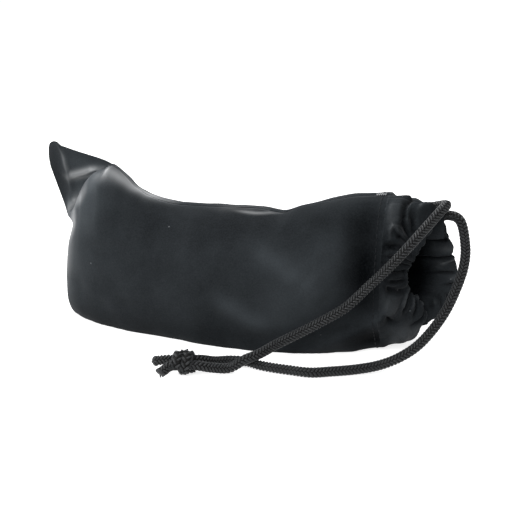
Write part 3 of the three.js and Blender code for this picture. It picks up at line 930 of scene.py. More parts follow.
def body_point(side, t, v):
    """A point of the outer face: v runs from the sewn end to the casing seam."""
    x_end = np.full(np.shape(t), X_TIP + 4.0)
    for _ in range(25):
        x_end = 0.5 * x_end + 0.5 * end_at(rise_at(t, x_end)[0])
    x = x_end + (X_SEAM - x_end) * v
    z, s, f = rise_at(t, x)
    firm = 0.8 + 0.2 * smooth(X_SEAM - 18, X_SEAM - 1, x) + lean_at(side, x, s)
    oval = power(np.maximum(np.cos(math.pi * (s - 0.5)), 0), firm)
    run = np.clip((x - x_end) / PUFF_RUN, 0, 1)
    swell = np.sqrt(1 - (1 - run) ** 2)
    eared = smooth(0.5, 6, ridge_line(x) - shoulder_line(x))
    doubled = eared * 0.9 * smooth(0.85, 1, s) * np.sqrt(1 - f**2 + 1e-9)
    return x, side * (0.15 + depth_line(x) * oval * swell + doubled), z


print("middle of the front:", [round(float(c), 1) for c in body_point(-1, np.array(0.5), np.array(0.5))])

# %% [markdown]
# ## Drawing a fold
# A filled pouch is never even. A fold is a soft ridge, or a groove, along a few marks on the cloth,
# with its own height and width, and it fades towards its ends. A sculptor would push it in with a
# brush. Written as marks it can be read, moved and used again for paler lines and for shine.

# %% Folds


def fold(x, z, marks, high, wide, below=1.0):
    """A soft ridge along marks (x, z). below narrows its lower side."""
    best = np.full(x.shape, 1e9)
    sign = np.zeros(x.shape)
    share = np.zeros(x.shape)
    marks = np.array(marks, float)
    whole = np.linalg.norm(np.diff(marks, axis=0), axis=1)
    gone = 0
    for a, b, part in zip(marks[:-1], marks[1:], whole):
        d = (b - a) / part
        k = np.clip((x - a[0]) * d[0] + (z - a[1]) * d[1], 0, part)
        dx, dz = x - a[0] - d[0] * k, z - a[1] - d[1] * k
        far = np.hypot(dx, dz)
        nearer = far < best
        best = np.where(nearer, far, best)
        sign = np.where(nearer, d[0] * dz - d[1] * dx, sign)
        share = np.where(nearer, (gone + k) / whole.sum(), share)
        gone += part
    width = np.where(sign < 0, wide * below, wide)
    taper = smooth(0, 0.3, share) * smooth(1, 0.7, share)
    return high * (0.25 + 0.75 * taper) * np.exp(-((best / width) ** 2))


def uneven(x, y, z, size, seed):
    """Slow noise whose waves are about size mm long."""
    flat = zip(x.ravel(), y.ravel(), z.ravel())
    waves = [noise.noise(Vector((a / size, b / size, c / size + seed))) for a, b, c in flat]
    return np.array(waves).reshape(x.shape)


print("a fold at its middle:", fold(np.array([5.0]), np.array([0.0]), [(0, 0), (10, 0)], 2.0, 3.0))

# %% [markdown]
# ## The folds of the two panels
# These are the folds that the filled pouch has. On the front two long ones run down from the upper
# edge, one is pressed in by the cord, and the rest belong to the ear, the shoulder and the casing. The
# back was not seen and has a few soft ones. Each line gives marks (x, z), height, width, and the share
# of the width on the lower side.

# %% Panel folds
FRONT_FOLDS = [
    ([(11, 50), (14, 47.5), (18.5, 44.5), (25, 41.5), (31, 38), (38, 34)], 1.6, 6.0, 0.8),
    ([(-7, 31), (-4, 27), (1, 22.5), (6.5, 18.8), (12, 15.5), (18.5, 14), (26, 13)], 1.5, 5.0, 0.8),
    ([(36, 38), (46, 29)], 1.8, 8.0, 1.0),
    ([(22, 56), (34, 47), (42, 44)], -1.2, 6.0, 1.0),
    ([(78, 25), (67, 19.5), (60, 15.7), (51, 10.7), (42, 6)], 3.2, 6.0, 0.25),
    ([(47, 2), (60, 3), (77, 6)], 2.6, 4.5, 1.0),
    ([(-70, 12), (-76, 26), (-74, 40)], -1.0, 6.0, 1.0),
    ([(-40, 50), (-15, 47), (2, 50)], -0.6, 8.0, 1.0),
    ([(-30, 20), (-50, 34), (-66, 40)], 0.6, 9.0, 1.0),
    ([(-86, 66.2), (-83.5, 65.6), (-78.5, 67.7), (-71.6, 70.3), (-66, 71.6)], 1.8, 1.8, 0.8),
    ([(-80, 63.5), (-79.5, 59.5), (-82.5, 55)], -0.6, 3.0, 1.0),
    ([(-72.5, 67.5), (-72.9, 64), (-77, 57.7), (-82.7, 52.6), (-83.5, 48)], 1.0, 1.8, 1.0),
    ([(-70, 67.6), (-63.4, 67.9), (-57.4, 67.3), (-53, 65.6), (-49, 63.6)], 0.6, 3.0, 0.6),
]
BACK_FOLDS = [
    ([(-40, 50), (-20, 40), (-6, 24)], 1.2, 7.0, 0.8),
    ([(4, 55), (16, 40), (20, 22)], 1.0, 6.5, 0.8),
    ([(30, 50), (44, 38), (60, 33)], -1.4, 7.0, 1.0),
    ([(68, 20), (52, 12), (36, 10)], 1.6, 6.0, 0.5),
    ([(-62, 44), (-70, 28), (-62, 14)], 0.9, 8.0, 1.0),
]
print("folds drawn: front", len(FRONT_FOLDS), "back", len(BACK_FOLDS))

# %% [markdown]
# ## Shine, painted highlights and painted shade
# Where cloth is stretched over an edge it shines, and on top of that highlights and shade are painted
# into the colour. `TAUT` holds shiny lines as marks (x, z), strength and width; `PAINTED_HIGHLIGHT_LINES`
# holds painted highlights in the same way. `TOP_SHINE` is drawn in plan (x, y) along the upper edge, with
# strength, the paleness of its painted highlight and width. `PAINTED_LIGHT_PATCHES` holds soft patches of
# painted highlight and shade: middle, half sizes and how much paler they are.

# %% Shine and painted light
TAUT = [
    ([(-84.5, 65.8), (-78.5, 67.9), (-71.6, 70.4), (-66, 71.8)], 1.0, 2.0),
    ([(-70, 70), (-71, 66.5), (-71, 64), (-73, 60.5), (-77, 57.2), (-82, 53), (-84, 49), (-84, 45)], 1.0, 1.8),
    ([(-83, 47), (-84, 34), (-84, 20)], 0.62, 5.0),
    ([(-80, 57), (-79.5, 52), (-79.5, 47), (-81, 42), (-83, 35)], 0.9, 2.6),
    ([(-86.4, 78), (-85, 72), (-83, 67)], 0.3, 1.3),
    ([(-14, 61), (-2, 60.8), (8, 61), (20, 61.5)], 0.26, 1.3),
]
# Painted highlights along two folds of the front.
PAINTED_HIGHLIGHT_LINES = [
    ([(12, 49), (18.5, 45.5), (25, 42.5), (31, 39), (38, 35)], 1.1, 5.0),
    ([(-4, 28), (1, 23.5), (6.5, 20), (12, 17), (19, 15), (26, 14)], 1.1, 4.0),
]
# Shine along the upper edge; its paleness paints a highlight into the colour.
TOP_SHINE = [
    ([(-65, -3.9), (-62, -4.5), (-58, -3.8), (-54.5, -2), (-50.5, -0.3), (-46.3, 1), (-41, 2.2), (-34, 3)],
     1.5, 2.0, 4.2),
    ([(-2, -3), (4, -3.3), (9, -4), (12, -3.6), (15, -2.4), (20, -1.5)], 0.5, 0.6, 1.3),
]
# Patches of painted highlight (paler) and painted shade (darker).
PAINTED_LIGHT_PATCHES = [
    ((-72, 56), (8, 10), 1.0),
    ((-74, 34), (9, 14), 0.25),
    ((-72, 3), (22, 9), -0.9),
    ((-10, 55), (36, 8), -0.6),
    ((5, 4), (45, 9), -0.6),
    ((38, 36), (13, 13), 0.6),
    ((26, 22), (14, 12), 0.55),
    ((60, 42), (8.5, 26), -1.3),
    ((-93, 66), (6, 18), -0.7),
    ((34, 62), (42, 6), -0.5),
    ((57, 19), (12, 4), 0.6),
    ((63, 9.5), (9, 5), -1.3),
    ((45, 49), (7, 7), 0.35),
    ((-82.5, 51.5), (3.5, 5), 1.8),
    ((-83, 43), (4, 7), 1.0),
    ((-68.5, 69), (5, 4), 2.2),
    ((-78.5, 62), (4, 5), 1.0),
    ((-80, 74), (8, 4), 0.7),
    ((34, 3), (22, 6), 0.5),
    ((-66, 60), (8, 8), 0.5),
]
print("shiny lines", len(TAUT) + len(TOP_SHINE), "pale lines", len(PAINTED_HIGHLIGHT_LINES), "patches", len(PAINTED_LIGHT_PATCHES))

# %% [markdown]
# ## Gathers round the mouth
# The cord draws the cloth into lobes of different widths with sharp valleys between them. They die
# away over the first centimetres of the panel. The lobes could be an even wave, but listed edges give
# the irregular look of cloth that was pulled together.

# %% Gathers
LOBES = {
    -1: [0, 0.06, 0.12, 0.2, 0.255, 0.33, 0.37, 0.42, 0.455, 0.5, 0.545, 0.6, 0.68, 0.735, 0.8, 0.89, 1],
    1: [0, 0.1, 0.2, 0.3, 0.44, 0.57, 0.69, 0.79, 0.9, 1],
}
GATHER_RUN = 8


def ruffle(side, w, p):
    """Gathers round half of the mouth: w from top to bottom; p is 0 at the seam, 1 at the rim, 2 far
    inside. A valley is about -1 and the crest of a lobe about 0.6."""
    edges = np.array(LOBES[side])
    w, p = np.broadcast_arrays(np.asarray(w, float), np.asarray(p, float))
    pinned = np.clip(np.minimum(w, 1 - w) * 12, 0, 1)
    stray = 0.036 * uneven(w * 70, p * 18, 0 * w, 10, 4 + side) + 0.016 * np.sin(8 * w + 2.6 * p + side)
    w = w + pinned * stray
    out = np.full(w.shape, -0.9)
    for k, (lo, hi) in enumerate(zip(edges[:-1], edges[1:])):
        u = (w - lo) / (hi - lo)
        tall = (1 + 0.3 * math.sin(5.1 * k + 2 * side)) * min(1.25, ((hi - lo) / 0.08) ** 0.6)
        lobe = tall * np.sin(math.pi * np.clip(u, 0, 1)) ** 0.62
        if side < 0 and hi - lo > 0.065:
            split = 0.5 + 0.16 * math.sin(3.3 * k + side)
            lobe = lobe - 0.6 * np.exp(-(((u - split) / 0.1) ** 2)) * smooth(0.3, 0.95, p)
        out = np.where((u >= 0) & (u <= 1), 1.5 * lobe - 0.9, out)
    return out


def draw_at(x):
    """How much of the gathers is left at x on a panel."""
    return np.exp(-(X_SEAM - x) / GATHER_RUN)


print("lobes: front", len(LOBES[-1]) - 1, "back", len(LOBES[1]) - 1)

# %% [markdown]
# ## From the smooth body to a worn panel
# Three steps turn the smooth loft into cloth. The first pushes it outwards along its own normal:
# folds, a dip before the casing, gathers and a little chance. A Displace modifier could do it from a
# painted picture, but marks in code are easier to read and to move.

# %% Pushing the cloth out


def pushed(side, x, y, z, t, v):
    """How far folds, the dip, the gathers and chance push the cloth outwards."""
    move = np.zeros(x.shape)
    for marks, high, wide, below in FRONT_FOLDS if side < 0 else BACK_FOLDS:
        move += fold(x, z, marks, high, wide, below)
    near = X_SEAM - x
    dip = np.exp(-(((near - 5) / 9) ** 2)) * np.exp(-(((t - 0.58) / 0.22) ** 2))
    move -= 4.2 * dip
    move += draw_at(x) * (0.12 if side < 0 else 0.5) * ruffle(side, 1 - t, 0)
    calm = smooth(0, 0.04, t) * smooth(1, 0.97, t) * smooth(0, 0.02, v)
    return move + calm * (0.75 * uneven(x, y, z, 26, 3 * side) + 0.3 * uneven(x, y, z, 9, 5 * side))


print("front folds reach", max(high for _, high, _, _ in FRONT_FOLDS), "mm")

# %% [markdown]
# ## Seams, ear and bow
# The second step sinks the cloth a little at the seams, bends the ear back along its crease, slides
# the upper edge to where it lies, and bows the whole pouch in plan. No point may sink into the floor.

# %% Settling the cloth
EAR_CREASE = [[46, -84], [53, -83], [60, -82.2], [66, -82.6], [70, -84], [76, -85.2], [82, -88]]
TOP_SLIDE = [[-60, 0], [-20, 0.5], [8, 3], [17, 1], [30, -0.5], [52, 0], [67, 0]]


def settle(grid, t, v, apart):
    """Sinks the seams, bends the ear, slides the upper edge and bows the pouch, all in place."""
    seam_dip = np.exp(-((apart / 0.9) ** 2))
    grid[:, :, 2] -= 0.3 * seam_dip * smooth(0.8, 1, t)
    grid[:, :, 0] += 0.5 * seam_dip * smooth(0.06, 0, v)
    past = along(EAR_CREASE, grid[:, :, 2]) - grid[:, :, 0]
    eared = smooth(44, 52, grid[:, :, 2]) * smooth(-70, -78, grid[:, :, 0])
    grid[:, :, 1] += eared * (0.18 * (past + np.sqrt(past**2 + 1.2)) - 0.9 * np.exp(-((past / 1.6) ** 2)))
    grid[:, :, 1] += along(TOP_SLIDE, grid[:, :, 0]) * smooth(0.72, 1, t)
    grid[:, :, 1] += bow(grid[:, :, 0])
    grid[:, :, 2] = np.maximum(grid[:, :, 2], 0.05)


print("ear crease marks", len(EAR_CREASE), "slide marks", len(TOP_SLIDE))

# %% [markdown]
# ## How worn the cloth is, and its painted light and shade
# The third step collects the shiny lines, the painted highlight lines, the patches of painted highlight
# and shade and the rubbed edges into two values for each point, which the finish reads. Painting by
# hand would do the same, but could not be run again.

# %% Rubbed, painted and taut places


def wear_of(side, x, z, t, grid, apart):
    """How rubbed, how much highlight and shade is painted on, and how taut each point is."""
    rub, shine = np.zeros(x.shape), np.zeros(x.shape)
    for marks, strong, wide in TAUT:
        shine = np.maximum(shine, fold(x, z, marks, strong, wide))
    # Along the upper edge the shine lines also paint a highlight into the colour.
    for marks, strong, paler, wide in TOP_SHINE:
        crown = fold(grid[:, :, 0], grid[:, :, 1], marks, 1.0, wide) * smooth(55, 59, z)
        shine = np.maximum(shine, strong * crown)
        rub += paler * crown
    # Rubbed seam edges, paler from wear.
    rub += 0.35 * np.exp(-((apart / 1.6) ** 2)) * smooth(0.5, 0.9, t) * smooth(-76, -60, x)
    # Painted highlight on the crests of the gathers.
    rub += (0.1 if side < 0 else 0.5) * draw_at(x) * np.maximum(ruffle(side, 1 - t, 0), 0)
    # Painted highlights along folds of the front.
    for marks, paler, wide in PAINTED_HIGHLIGHT_LINES if side < 0 else []:
        rub += fold(x, z, marks, paler, wide)
    # Patches of painted highlight and painted shade.
    for (at_x, at_z), (wide, tall), paler in PAINTED_LIGHT_PATCHES:
        rub += paler * np.exp(-(((x - at_x) / wide) ** 2) - ((z - at_z) / tall) ** 2)
    return rub, shine


print("patches that are paler:", sum(paler > 0 for _, _, paler in PAINTED_LIGHT_PATCHES))

# %% [markdown]
# ## The panels as grids of points
# Each panel is a grid that lies closer near its edges, where the seams bend sharply. The inner face
# is the outer one moved in by the cloth's thickness, and thinner where both panels meet.

# %% Panel grids
ROWS, COLS = 97, 169
CROWDED_ROWS, CROWDED_COLS = 0.09, 0.115


def crowd(u, how_much):
    """Even shares moved towards both ends."""
    return u - how_much * np.sin(2 * math.pi * u)


def normals_of(grid, side):
    n = np.cross(np.gradient(grid, axis=0), np.gradient(grid, axis=1)) * side
    return n / np.maximum(np.linalg.norm(n, axis=2, keepdims=True), 1e-9)


def panel_grid(side):
    """Outer and inner face of a panel, how rubbed and painted with highlight and shade each point is, and how
    taut.
    """
    t = crowd(np.linspace(0, 1, ROWS)[:, None], CROWDED_ROWS)
    v = crowd(np.linspace(0, 1, COLS)[None, :], CROWDED_COLS)
    t, v = np.broadcast_arrays(t, v)
    x, y, z = body_point(side, t, v)
    grid = np.stack([x, y, z], axis=2)
    grid = grid + normals_of(grid, side) * pushed(side, x, y, z, t, v)[:, :, None]
    apart = np.abs(grid[:, :, 1])
    settle(grid, t, v, apart)
    thick = np.clip(0.8 * apart, 0.05, 0.9)
    inner = grid - normals_of(grid, side) * thick[:, :, None]
    inner[:, :, 2] = np.maximum(inner[:, :, 2], 0.9)
    return grid, inner, *wear_of(side, x, z, t, grid, apart)


front_cloth, back_cloth = panel_grid(-1), panel_grid(1)
front_grid, back_grid = front_cloth[0], back_cloth[0]
print("front panel grid:", front_grid.shape[:2], "reaches", front_grid.reshape(-1, 3).min(0).round(1))

# %% [markdown]
# ## Cloth from two grids
# A panel of cloth is a thin closed shell: an outer face, an inner face, and a narrow edge all round.
# The Solidify modifier would do the same, but here the inner face must stay above the floor. The flat
# map counts metres of cloth along the grid, so the weave keeps its size everywhere.

# %% Cloth from two grids
# Inside the pouch the colour is darkened: painted shade.
INSIDE = {"rub": -0.9, "taut": 0}


def quads_of(numbers, turned):
    """Faces between the neighbours in a grid of point numbers."""
    n = numbers
    quads = np.stack([n[:-1, :-1], n[1:, :-1], n[1:, 1:], n[:-1, 1:]], axis=2).reshape(-1, 4)
    return quads[:, ::-1].tolist() if turned else quads.tolist()


def cloth_run(grid):
    """Metres of cloth along and across a grid, up to each of its points."""
    run_a = np.cumsum(np.linalg.norm(np.diff(grid, axis=0, prepend=grid[:1]), axis=2), axis=0)
    run_b = np.cumsum(np.linalg.norm(np.diff(grid, axis=1, prepend=grid[:, :1]), axis=2), axis=1)
    return np.stack([run_b, run_a], axis=2).reshape(-1, 2) * MM


def cloth_piece(name, outer, inner, rub, taut, flip):
    """A thin closed cloth from two grids of points, with a map in metres of cloth."""
    a = np.arange(rub.size).reshape(rub.shape)
    b = a + a.size
    faces = quads_of(a, flip) + quads_of(b, not flip)
    faces += quads_of(np.stack([a[0], b[0]]), not flip) + quads_of(np.stack([a[-1], b[-1]]), flip)
    faces += quads_of(np.stack([a[:, 0], b[:, 0]], axis=1), flip)
    faces += quads_of(np.stack([a[:, -1], b[:, -1]], axis=1), not flip)
    points = np.concatenate([outer.reshape(-1, 3), inner.reshape(-1, 3)])
    flat = cloth_run(outer)
    values = {
        word: np.concatenate([outside.ravel(), np.full(outside.size, INSIDE[word])])
        for word, outside in (("rub", rub), ("taut", taut))
    }
    return mesh_piece(name, points, faces, cloth, "cloth", np.concatenate([flat, flat]), values)


print("values inside the pouch:", INSIDE)

# %% [markdown]
# ## The two panels
# Front and back are sewn from the same cut, so their areas should be nearly the same. Measuring them
# shows at once if a fold stretched the cloth too far.

# %% Panels


def area_of(grid):
    """Area of a grid of points in square metres."""
    n = np.cross(grid[1:, :-1] - grid[:-1, :-1], grid[:-1, 1:] - grid[:-1, :-1])
    return float(np.linalg.norm(n, axis=2).sum()) * MM * MM


panel_front = cloth_piece("panel_front", *front_cloth, False)
panel_back = cloth_piece("panel_back", *back_cloth, True)
print("cloth in the panels:", [round(area_of(g) * 1e4, 1) for g in (front_grid, back_grid)], "square cm")

# %% [markdown]
# ## The panels on the pouch
# Both panels ride on the body that stays still, and replace its two shells.

# %% Panels ride on the pouch
for piece, node in ((panel_front, "front_panel"), (panel_back, "back_panel")):
    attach(piece, "pouch")
    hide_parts(node)
print("panels placed:", panel_front.name, panel_back.name)

# %% [markdown]
# ## Folds of the gathered lips
# The rim of the pouch is folded over the cord and stitched, so each half of the mouth is a soft lip
# drawn into deep pleats. The pleats that face the viewer are drawn one by one, as on the panels: marks
# (w, p), height and width. w runs from the top of the mouth to its bottom, p from the seam (0) over
# the rim (1) to the inside (2).

# %% Folds of the front lip
LIP_FOLDS = [
    ([(0.08, 0.1), (0.2, 0.2), (0.26, 0.34)], 1.0, 4.5),
    ([(0.03, 0.28), (0.1, 0.3), (0.15, 0.33), (0.212, 0.38), (0.25, 0.5), (0.3, 0.75)], -2.8, 1.3),
    ([(0.12, 0.37), (0.15, 0.39), (0.195, 0.43), (0.235, 0.54)], 0.9, 1.0),
    ([(0.14, 0.42), (0.185, 0.47), (0.236, 0.6), (0.27, 0.85)], -1.8, 0.8),
    ([(0.155, 0.5), (0.205, 0.56), (0.23, 0.65), (0.24, 0.9)], -1.6, 0.8),
    ([(0.15, 0.57), (0.125, 0.6), (0.11, 0.7)], 1.4, 1.2),
    ([(0.3, 0.2), (0.266, 0.16), (0.243, 0.2), (0.248, 0.3), (0.285, 0.5)], 1.6, 1.0),
    ([(0.262, 0.25), (0.28, 0.36), (0.295, 0.55), (0.32, 0.9)], -2.2, 0.9),
    ([(0.34, 0.02), (0.336, 0.23), (0.328, 0.45), (0.34, 0.9)], -2.6, 1.3),
    ([(0.358, 0.05), (0.347, 0.4), (0.36, 1.0)], -1.3, 0.6),
    ([(0.391, 0.05), (0.381, 0.45), (0.39, 1.1)], -1.4, 0.6),
    ([(0.417, 0.05), (0.406, 0.45), (0.415, 1.1)], -1.4, 0.6),
    ([(0.445, 0.1), (0.45, 0.6), (0.455, 1.1)], -1.4, 0.7),
    ([(0.486, 0.2), (0.498, 0.5), (0.515, 0.95)], -1.7, 0.8),
    ([(0.52, 0.2), (0.547, 0.54), (0.585, 0.84)], -2.8, 1.4),
    ([(0.42, 0.85), (0.5, 0.9), (0.555, 0.98)], 0.8, 1.2),
    ([(0.57, 0.2), (0.61, 0.36), (0.66, 0.44)], 1.5, 5.0),
    ([(0.575, 1.05), (0.605, 0.8), (0.64, 0.65), (0.69, 0.57)], 1.7, 1.0),
    ([(0.65, 1.1), (0.652, 0.82), (0.675, 0.67), (0.71, 0.6)], -2.0, 0.9),
    ([(0.69, 1.1), (0.72, 0.88), (0.745, 0.74)], 1.3, 0.9),
    ([(0.73, 1.15), (0.777, 0.82), (0.8, 0.7)], -2.0, 0.9),
    ([(0.8, 1.2), (0.86, 1.0), (0.9, 0.85)], -1.6, 1.0),
    ([(0.654, 0.18), (0.698, 0.3), (0.735, 0.44)], -2.6, 1.5),
    ([(0.76, 0.34), (0.84, 0.44), (0.92, 0.55), (0.99, 0.62)], 4.2, 5.0),
    ([(0.79, 0.52), (0.83, 0.64), (0.87, 0.8), (0.9, 0.95)], -1.9, 1.5),
]
print("folds drawn on the front lip:", len(LIP_FOLDS))

# %% [markdown]
# ## Folds of the far lip
# Of the far lip the inside is seen. Its folds are longer and softer, and some of them cross.

# %% Folds of the back lip
BACK_LIP_FOLDS = [
    ([(0.2, 0.8), (0.19, 1.1), (0.17, 1.4)], -1.6, 1.2),
    ([(0.3, 0.8), (0.302, 1.1), (0.29, 1.3), (0.28, 1.55)], -1.8, 0.9),
    ([(0.36, 0.85), (0.36, 1.15), (0.355, 1.35)], 1.0, 3.0),
    ([(0.43, 0.8), (0.436, 1.1), (0.442, 1.35), (0.45, 1.6)], -2.0, 1.0),
    ([(0.45, 1.0), (0.465, 1.15), (0.487, 1.28), (0.535, 1.36)], 1.5, 1.1),
    ([(0.585, 1.1), (0.588, 1.25), (0.592, 1.45)], -1.9, 1.0),
    ([(0.58, 1.02), (0.61, 1.1), (0.64, 1.16), (0.68, 1.22)], 1.0, 1.6),
    ([(0.685, 1.08), (0.7, 1.15), (0.72, 1.3)], -1.7, 1.0),
    ([(0.77, 1.5), (0.84, 1.37), (0.908, 1.28), (0.96, 1.15)], -1.8, 1.0),
    ([(0.8, 1.45), (0.86, 1.33), (0.93, 1.2)], 1.2, 1.0),
    ([(0.8, 1.4), (0.84, 1.25), (0.88, 1.1), (0.9, 0.85)], -1.6, 0.9),
    ([(0.79, 1.25), (0.82, 1.1), (0.84, 0.9), (0.85, 0.7)], -1.5, 0.9),
]
LIP_SPAN = np.array([85.0, 24.0])


def lip_folds(folds, w, p):
    """The folds drawn on a lip, in mm, at places w and p."""
    move = np.zeros(w.shape)
    for marks, high, wide in folds:
        move += fold(w * LIP_SPAN[0], p * LIP_SPAN[1], np.array(marks) * LIP_SPAN, high, wide)
    return move * smooth(0, 0.1, p)


print("folds drawn on the back lip:", len(BACK_LIP_FOLDS))

# %% [markdown]
# ## The section of a lip
# Each lip is a tube that is lofted round half of the mouth. Its section runs out from the seam, over
# the rim and back inside; each mark gives how far out, how far from the mouth's heart, and how deep
# the pleats are there. The rim is no plain circle: it stands out and falls back round the mouth.

# %% Section of a lip
SECTION = [
    (0, 1.0, 0.4), (0.1, 1.0, 0.8), (0.2, 0.99, 1.3), (0.3, 0.972, 1.7), (0.4, 0.945, 1.9),
    (0.5, 0.905, 2.0), (0.6, 0.86, 2.1), (0.7, 0.81, 2.2), (0.8, 0.755, 2.2), (0.88, 0.705, 2.2),
    (0.95, 0.655, 2.1), (0.99, 0.605, 2.0), (1.0, 0.56, 1.9), (0.985, 0.52, 1.8), (0.95, 0.49, 1.7),
    (0.88, 0.475, 1.6), (0.78, 0.47, 1.5), (0.65, 0.48, 1.4), (0.5, 0.51, 1.3), (0.35, 0.56, 1.2),
    (0.2, 0.62, 1.0), (0.08, 0.69, 0.7), (0, 0.77, 0.4), (-0.02, 0.86, 0.2), (-0.02, 0.93, 0.2),
    (-0.01, 0.98, 0.2),
]
RIM_AT = 12
TALL, WIDE = RING_TALL + 4, RING_WIDE + 4


def rim_at(side, th):
    """How far out the rim stands: th runs from the top of the mouth to its bottom."""
    if side < 0:
        marks = [
            [-0.6, 1], [0.25, 1.5], [0.45, 5], [0.7, 8.5], [1.1, 12.5], [1.57, 15.5], [2.1, 14],
            [2.6, 9.5], [3.2, 8.5],
        ]
    else:
        marks = [
            [0, 6], [0.6, 3], [1.1, 0.2], [1.5, -1.5], [1.8, -3], [2.1, -3.5], [2.4, -2], [2.8, 2.5],
            [3.3, 7],
        ]
    return X_RIM - along(marks, th)


print("marks of the section:", len(SECTION))

# %% [markdown]
# ## Places on a lip
# Round the mouth the front lip runs on a little as a thin tongue at both ends. It slips into the back
# lip, so the mouth can be drawn together or opened without a gap.

# %% Places on a lip
ROUND_SECTION, ROUND_MOUTH = 96, 400
TONGUES = {-1: (-0.55, 0.6), 1: (0.3, 0.12)}
NARROWING = [[-0.6, 0.5], [0.3, 0.5], [0.8, 0.8], [1.4, 1.1], [2.2, 1.1], [3.2, 0.8]]


def lip_places(side):
    """Where the points of a lip lie: s outwards, k from the mouth's heart, p round the section and th
    round the mouth. slit is 1 where the two lips are not sewn together."""
    section = np.array(SECTION)
    fine = np.linspace(0, len(section), ROUND_SECTION, endpoint=False)
    closed = np.vstack([section, section[:1]])
    s, k, deep = (np.interp(fine, np.arange(len(closed)), closed[:, c])[None, :] for c in range(3))
    p = np.clip(fine / RIM_AT, 0, 2)[None, :]
    slit = smooth(0.34, 0.52, s) if side < 0 else smooth(0.04, 0.4, s)
    before, after = TONGUES[side]
    first, last = before * slit, math.pi + after * slit
    th = first + (last - first) * np.linspace(0, 1, ROUND_MOUTH)[:, None]
    k = 1 - (1 - k) * along(NARROWING, th)
    high = smooth(0.75, 0.35, th) * smooth(0.62, 0.75, k) * smooth(1.0, 0.75, s) * smooth(1.25, 0.95, p)
    k = k + high * (1.005 - k) if side < 0 else k - 0.03 * smooth(0.9, 0.5, th) * smooth(0.1, 0.4, s)
    to_end = np.minimum(th - first, last - th)
    return SimpleNamespace(side=side, s=s, k=k, deep=deep, p=p, slit=slit, th=th, to_end=to_end)


print("points round a section:", ROUND_SECTION, "and round half of the mouth:", ROUND_MOUTH)

# %% [markdown]
# ## Steps of a lip
# As with the panels, a few steps turn the smooth tube into gathered cloth. The first two lay the tube
# round the mouth and sink its ends, so that one lip fits into the other.

# %% The smooth lip
SEAM_EDGE = 0.2


def smooth_lip(lip):
    """The tube before it is pleated, and the way out of its face at each point."""
    x = X_SEAM + SEAM_EDGE + (rim_at(lip.side, lip.th) - X_SEAM - SEAM_EDGE) * lip.s
    y = lip.side * lip.k * WIDE * np.sin(lip.th)
    z = RING_HEART + lip.k * TALL * np.cos(lip.th)
    grid = np.stack(np.broadcast_arrays(x, y, z), axis=2)
    ahead = np.roll(grid, -1, axis=1) - np.roll(grid, 1, axis=1)
    out = np.cross(np.gradient(grid, axis=0), ahead) * -lip.side
    return grid, out / np.maximum(np.linalg.norm(out, axis=2, keepdims=True), 1e-9)


def lip_ends(lip):
    """How far the ends of a lip are sunk, from 0 to 1, and how far they drop in mm."""
    if lip.side > 0:
        near = np.clip(lip.to_end * 30 / 4, 0.03, 1)
        return (1 - np.sqrt(1 - (1 - near) ** 2)) * lip.slit, 0 * lip.th
    top, low = smooth(0.32, 0.22, lip.th), smooth(math.pi - 0.1, math.pi + 0.16, lip.th)
    return np.maximum(top, low) * lip.slit, -11.5 * top * lip.slit + 0.8 * low * lip.slit


print("a lip starts", SEAM_EDGE, "mm past the seam")

# %% [markdown]
# ## Pleats and the seam
# The pleats are a mix: the lobes and creases of a crumpled tube, and on the side that is seen the
# drawn folds. At the seam the tube is pulled onto the panel's edge, so that no gap shows.

# %% Pleats and the seam


def lip_pleats(lip):
    """How far the pleats push the cloth out, the pleats themselves, the creases and the drawn band."""
    side, th, p = lip.side, lip.th, lip.p
    pleat = ruffle(side, th / math.pi, np.broadcast_to(p, th.shape))
    torn = uneven(th * 13 + 0 * p, p * 16 + 0 * th, 0 * (th + p), 10, 21 + side)
    crumple = -1.3 * np.exp(-((torn / 0.1) ** 2)) * smooth(0.1, 0.5, p) * smooth(2, 1.5, p)
    if side < 0:
        deep, folds, band = lip.deep * 1.15, LIP_FOLDS, smooth(1.2, 0.95, p)
    else:
        deep = lip.deep * (1 - 0.6 * smooth(0.5, 0.95, p) * smooth(1.7, 1.2, p))
        folds, band = BACK_LIP_FOLDS, smooth(0.65, 0.95, p) * smooth(1.85, 1.6, p)
    drawn = lip_folds(folds, th / math.pi, p + 0 * th)
    push = (deep * pleat + crumple) * (1 - 0.85 * band) + drawn * band
    return push, pleat * (1 - band) + 0.45 * drawn * band, crumple, band


def sew_to_panel(grid, lip):
    """Pulls the first column of a lip, and what lies near it, onto the panel's edge."""
    panel_edge = (front_grid if lip.side < 0 else back_grid)[:, -1]
    share_marks = crowd(np.linspace(0, 1, len(panel_edge)), CROWDED_ROWS)
    share = 1 - np.clip(lip.th[:, 0] / math.pi, 0, 1)
    sewn = np.stack([np.interp(share, share_marks, panel_edge[:, c]) for c in range(3)], axis=1)
    hold = (1 - smooth(0, 0.3, lip.s)) * smooth(0.84, 0.97, lip.k)
    return grid + (sewn - grid[:, 0])[:, None] * hold[:, :, None]


print("edge points of a panel to sew to:", len(front_grid))
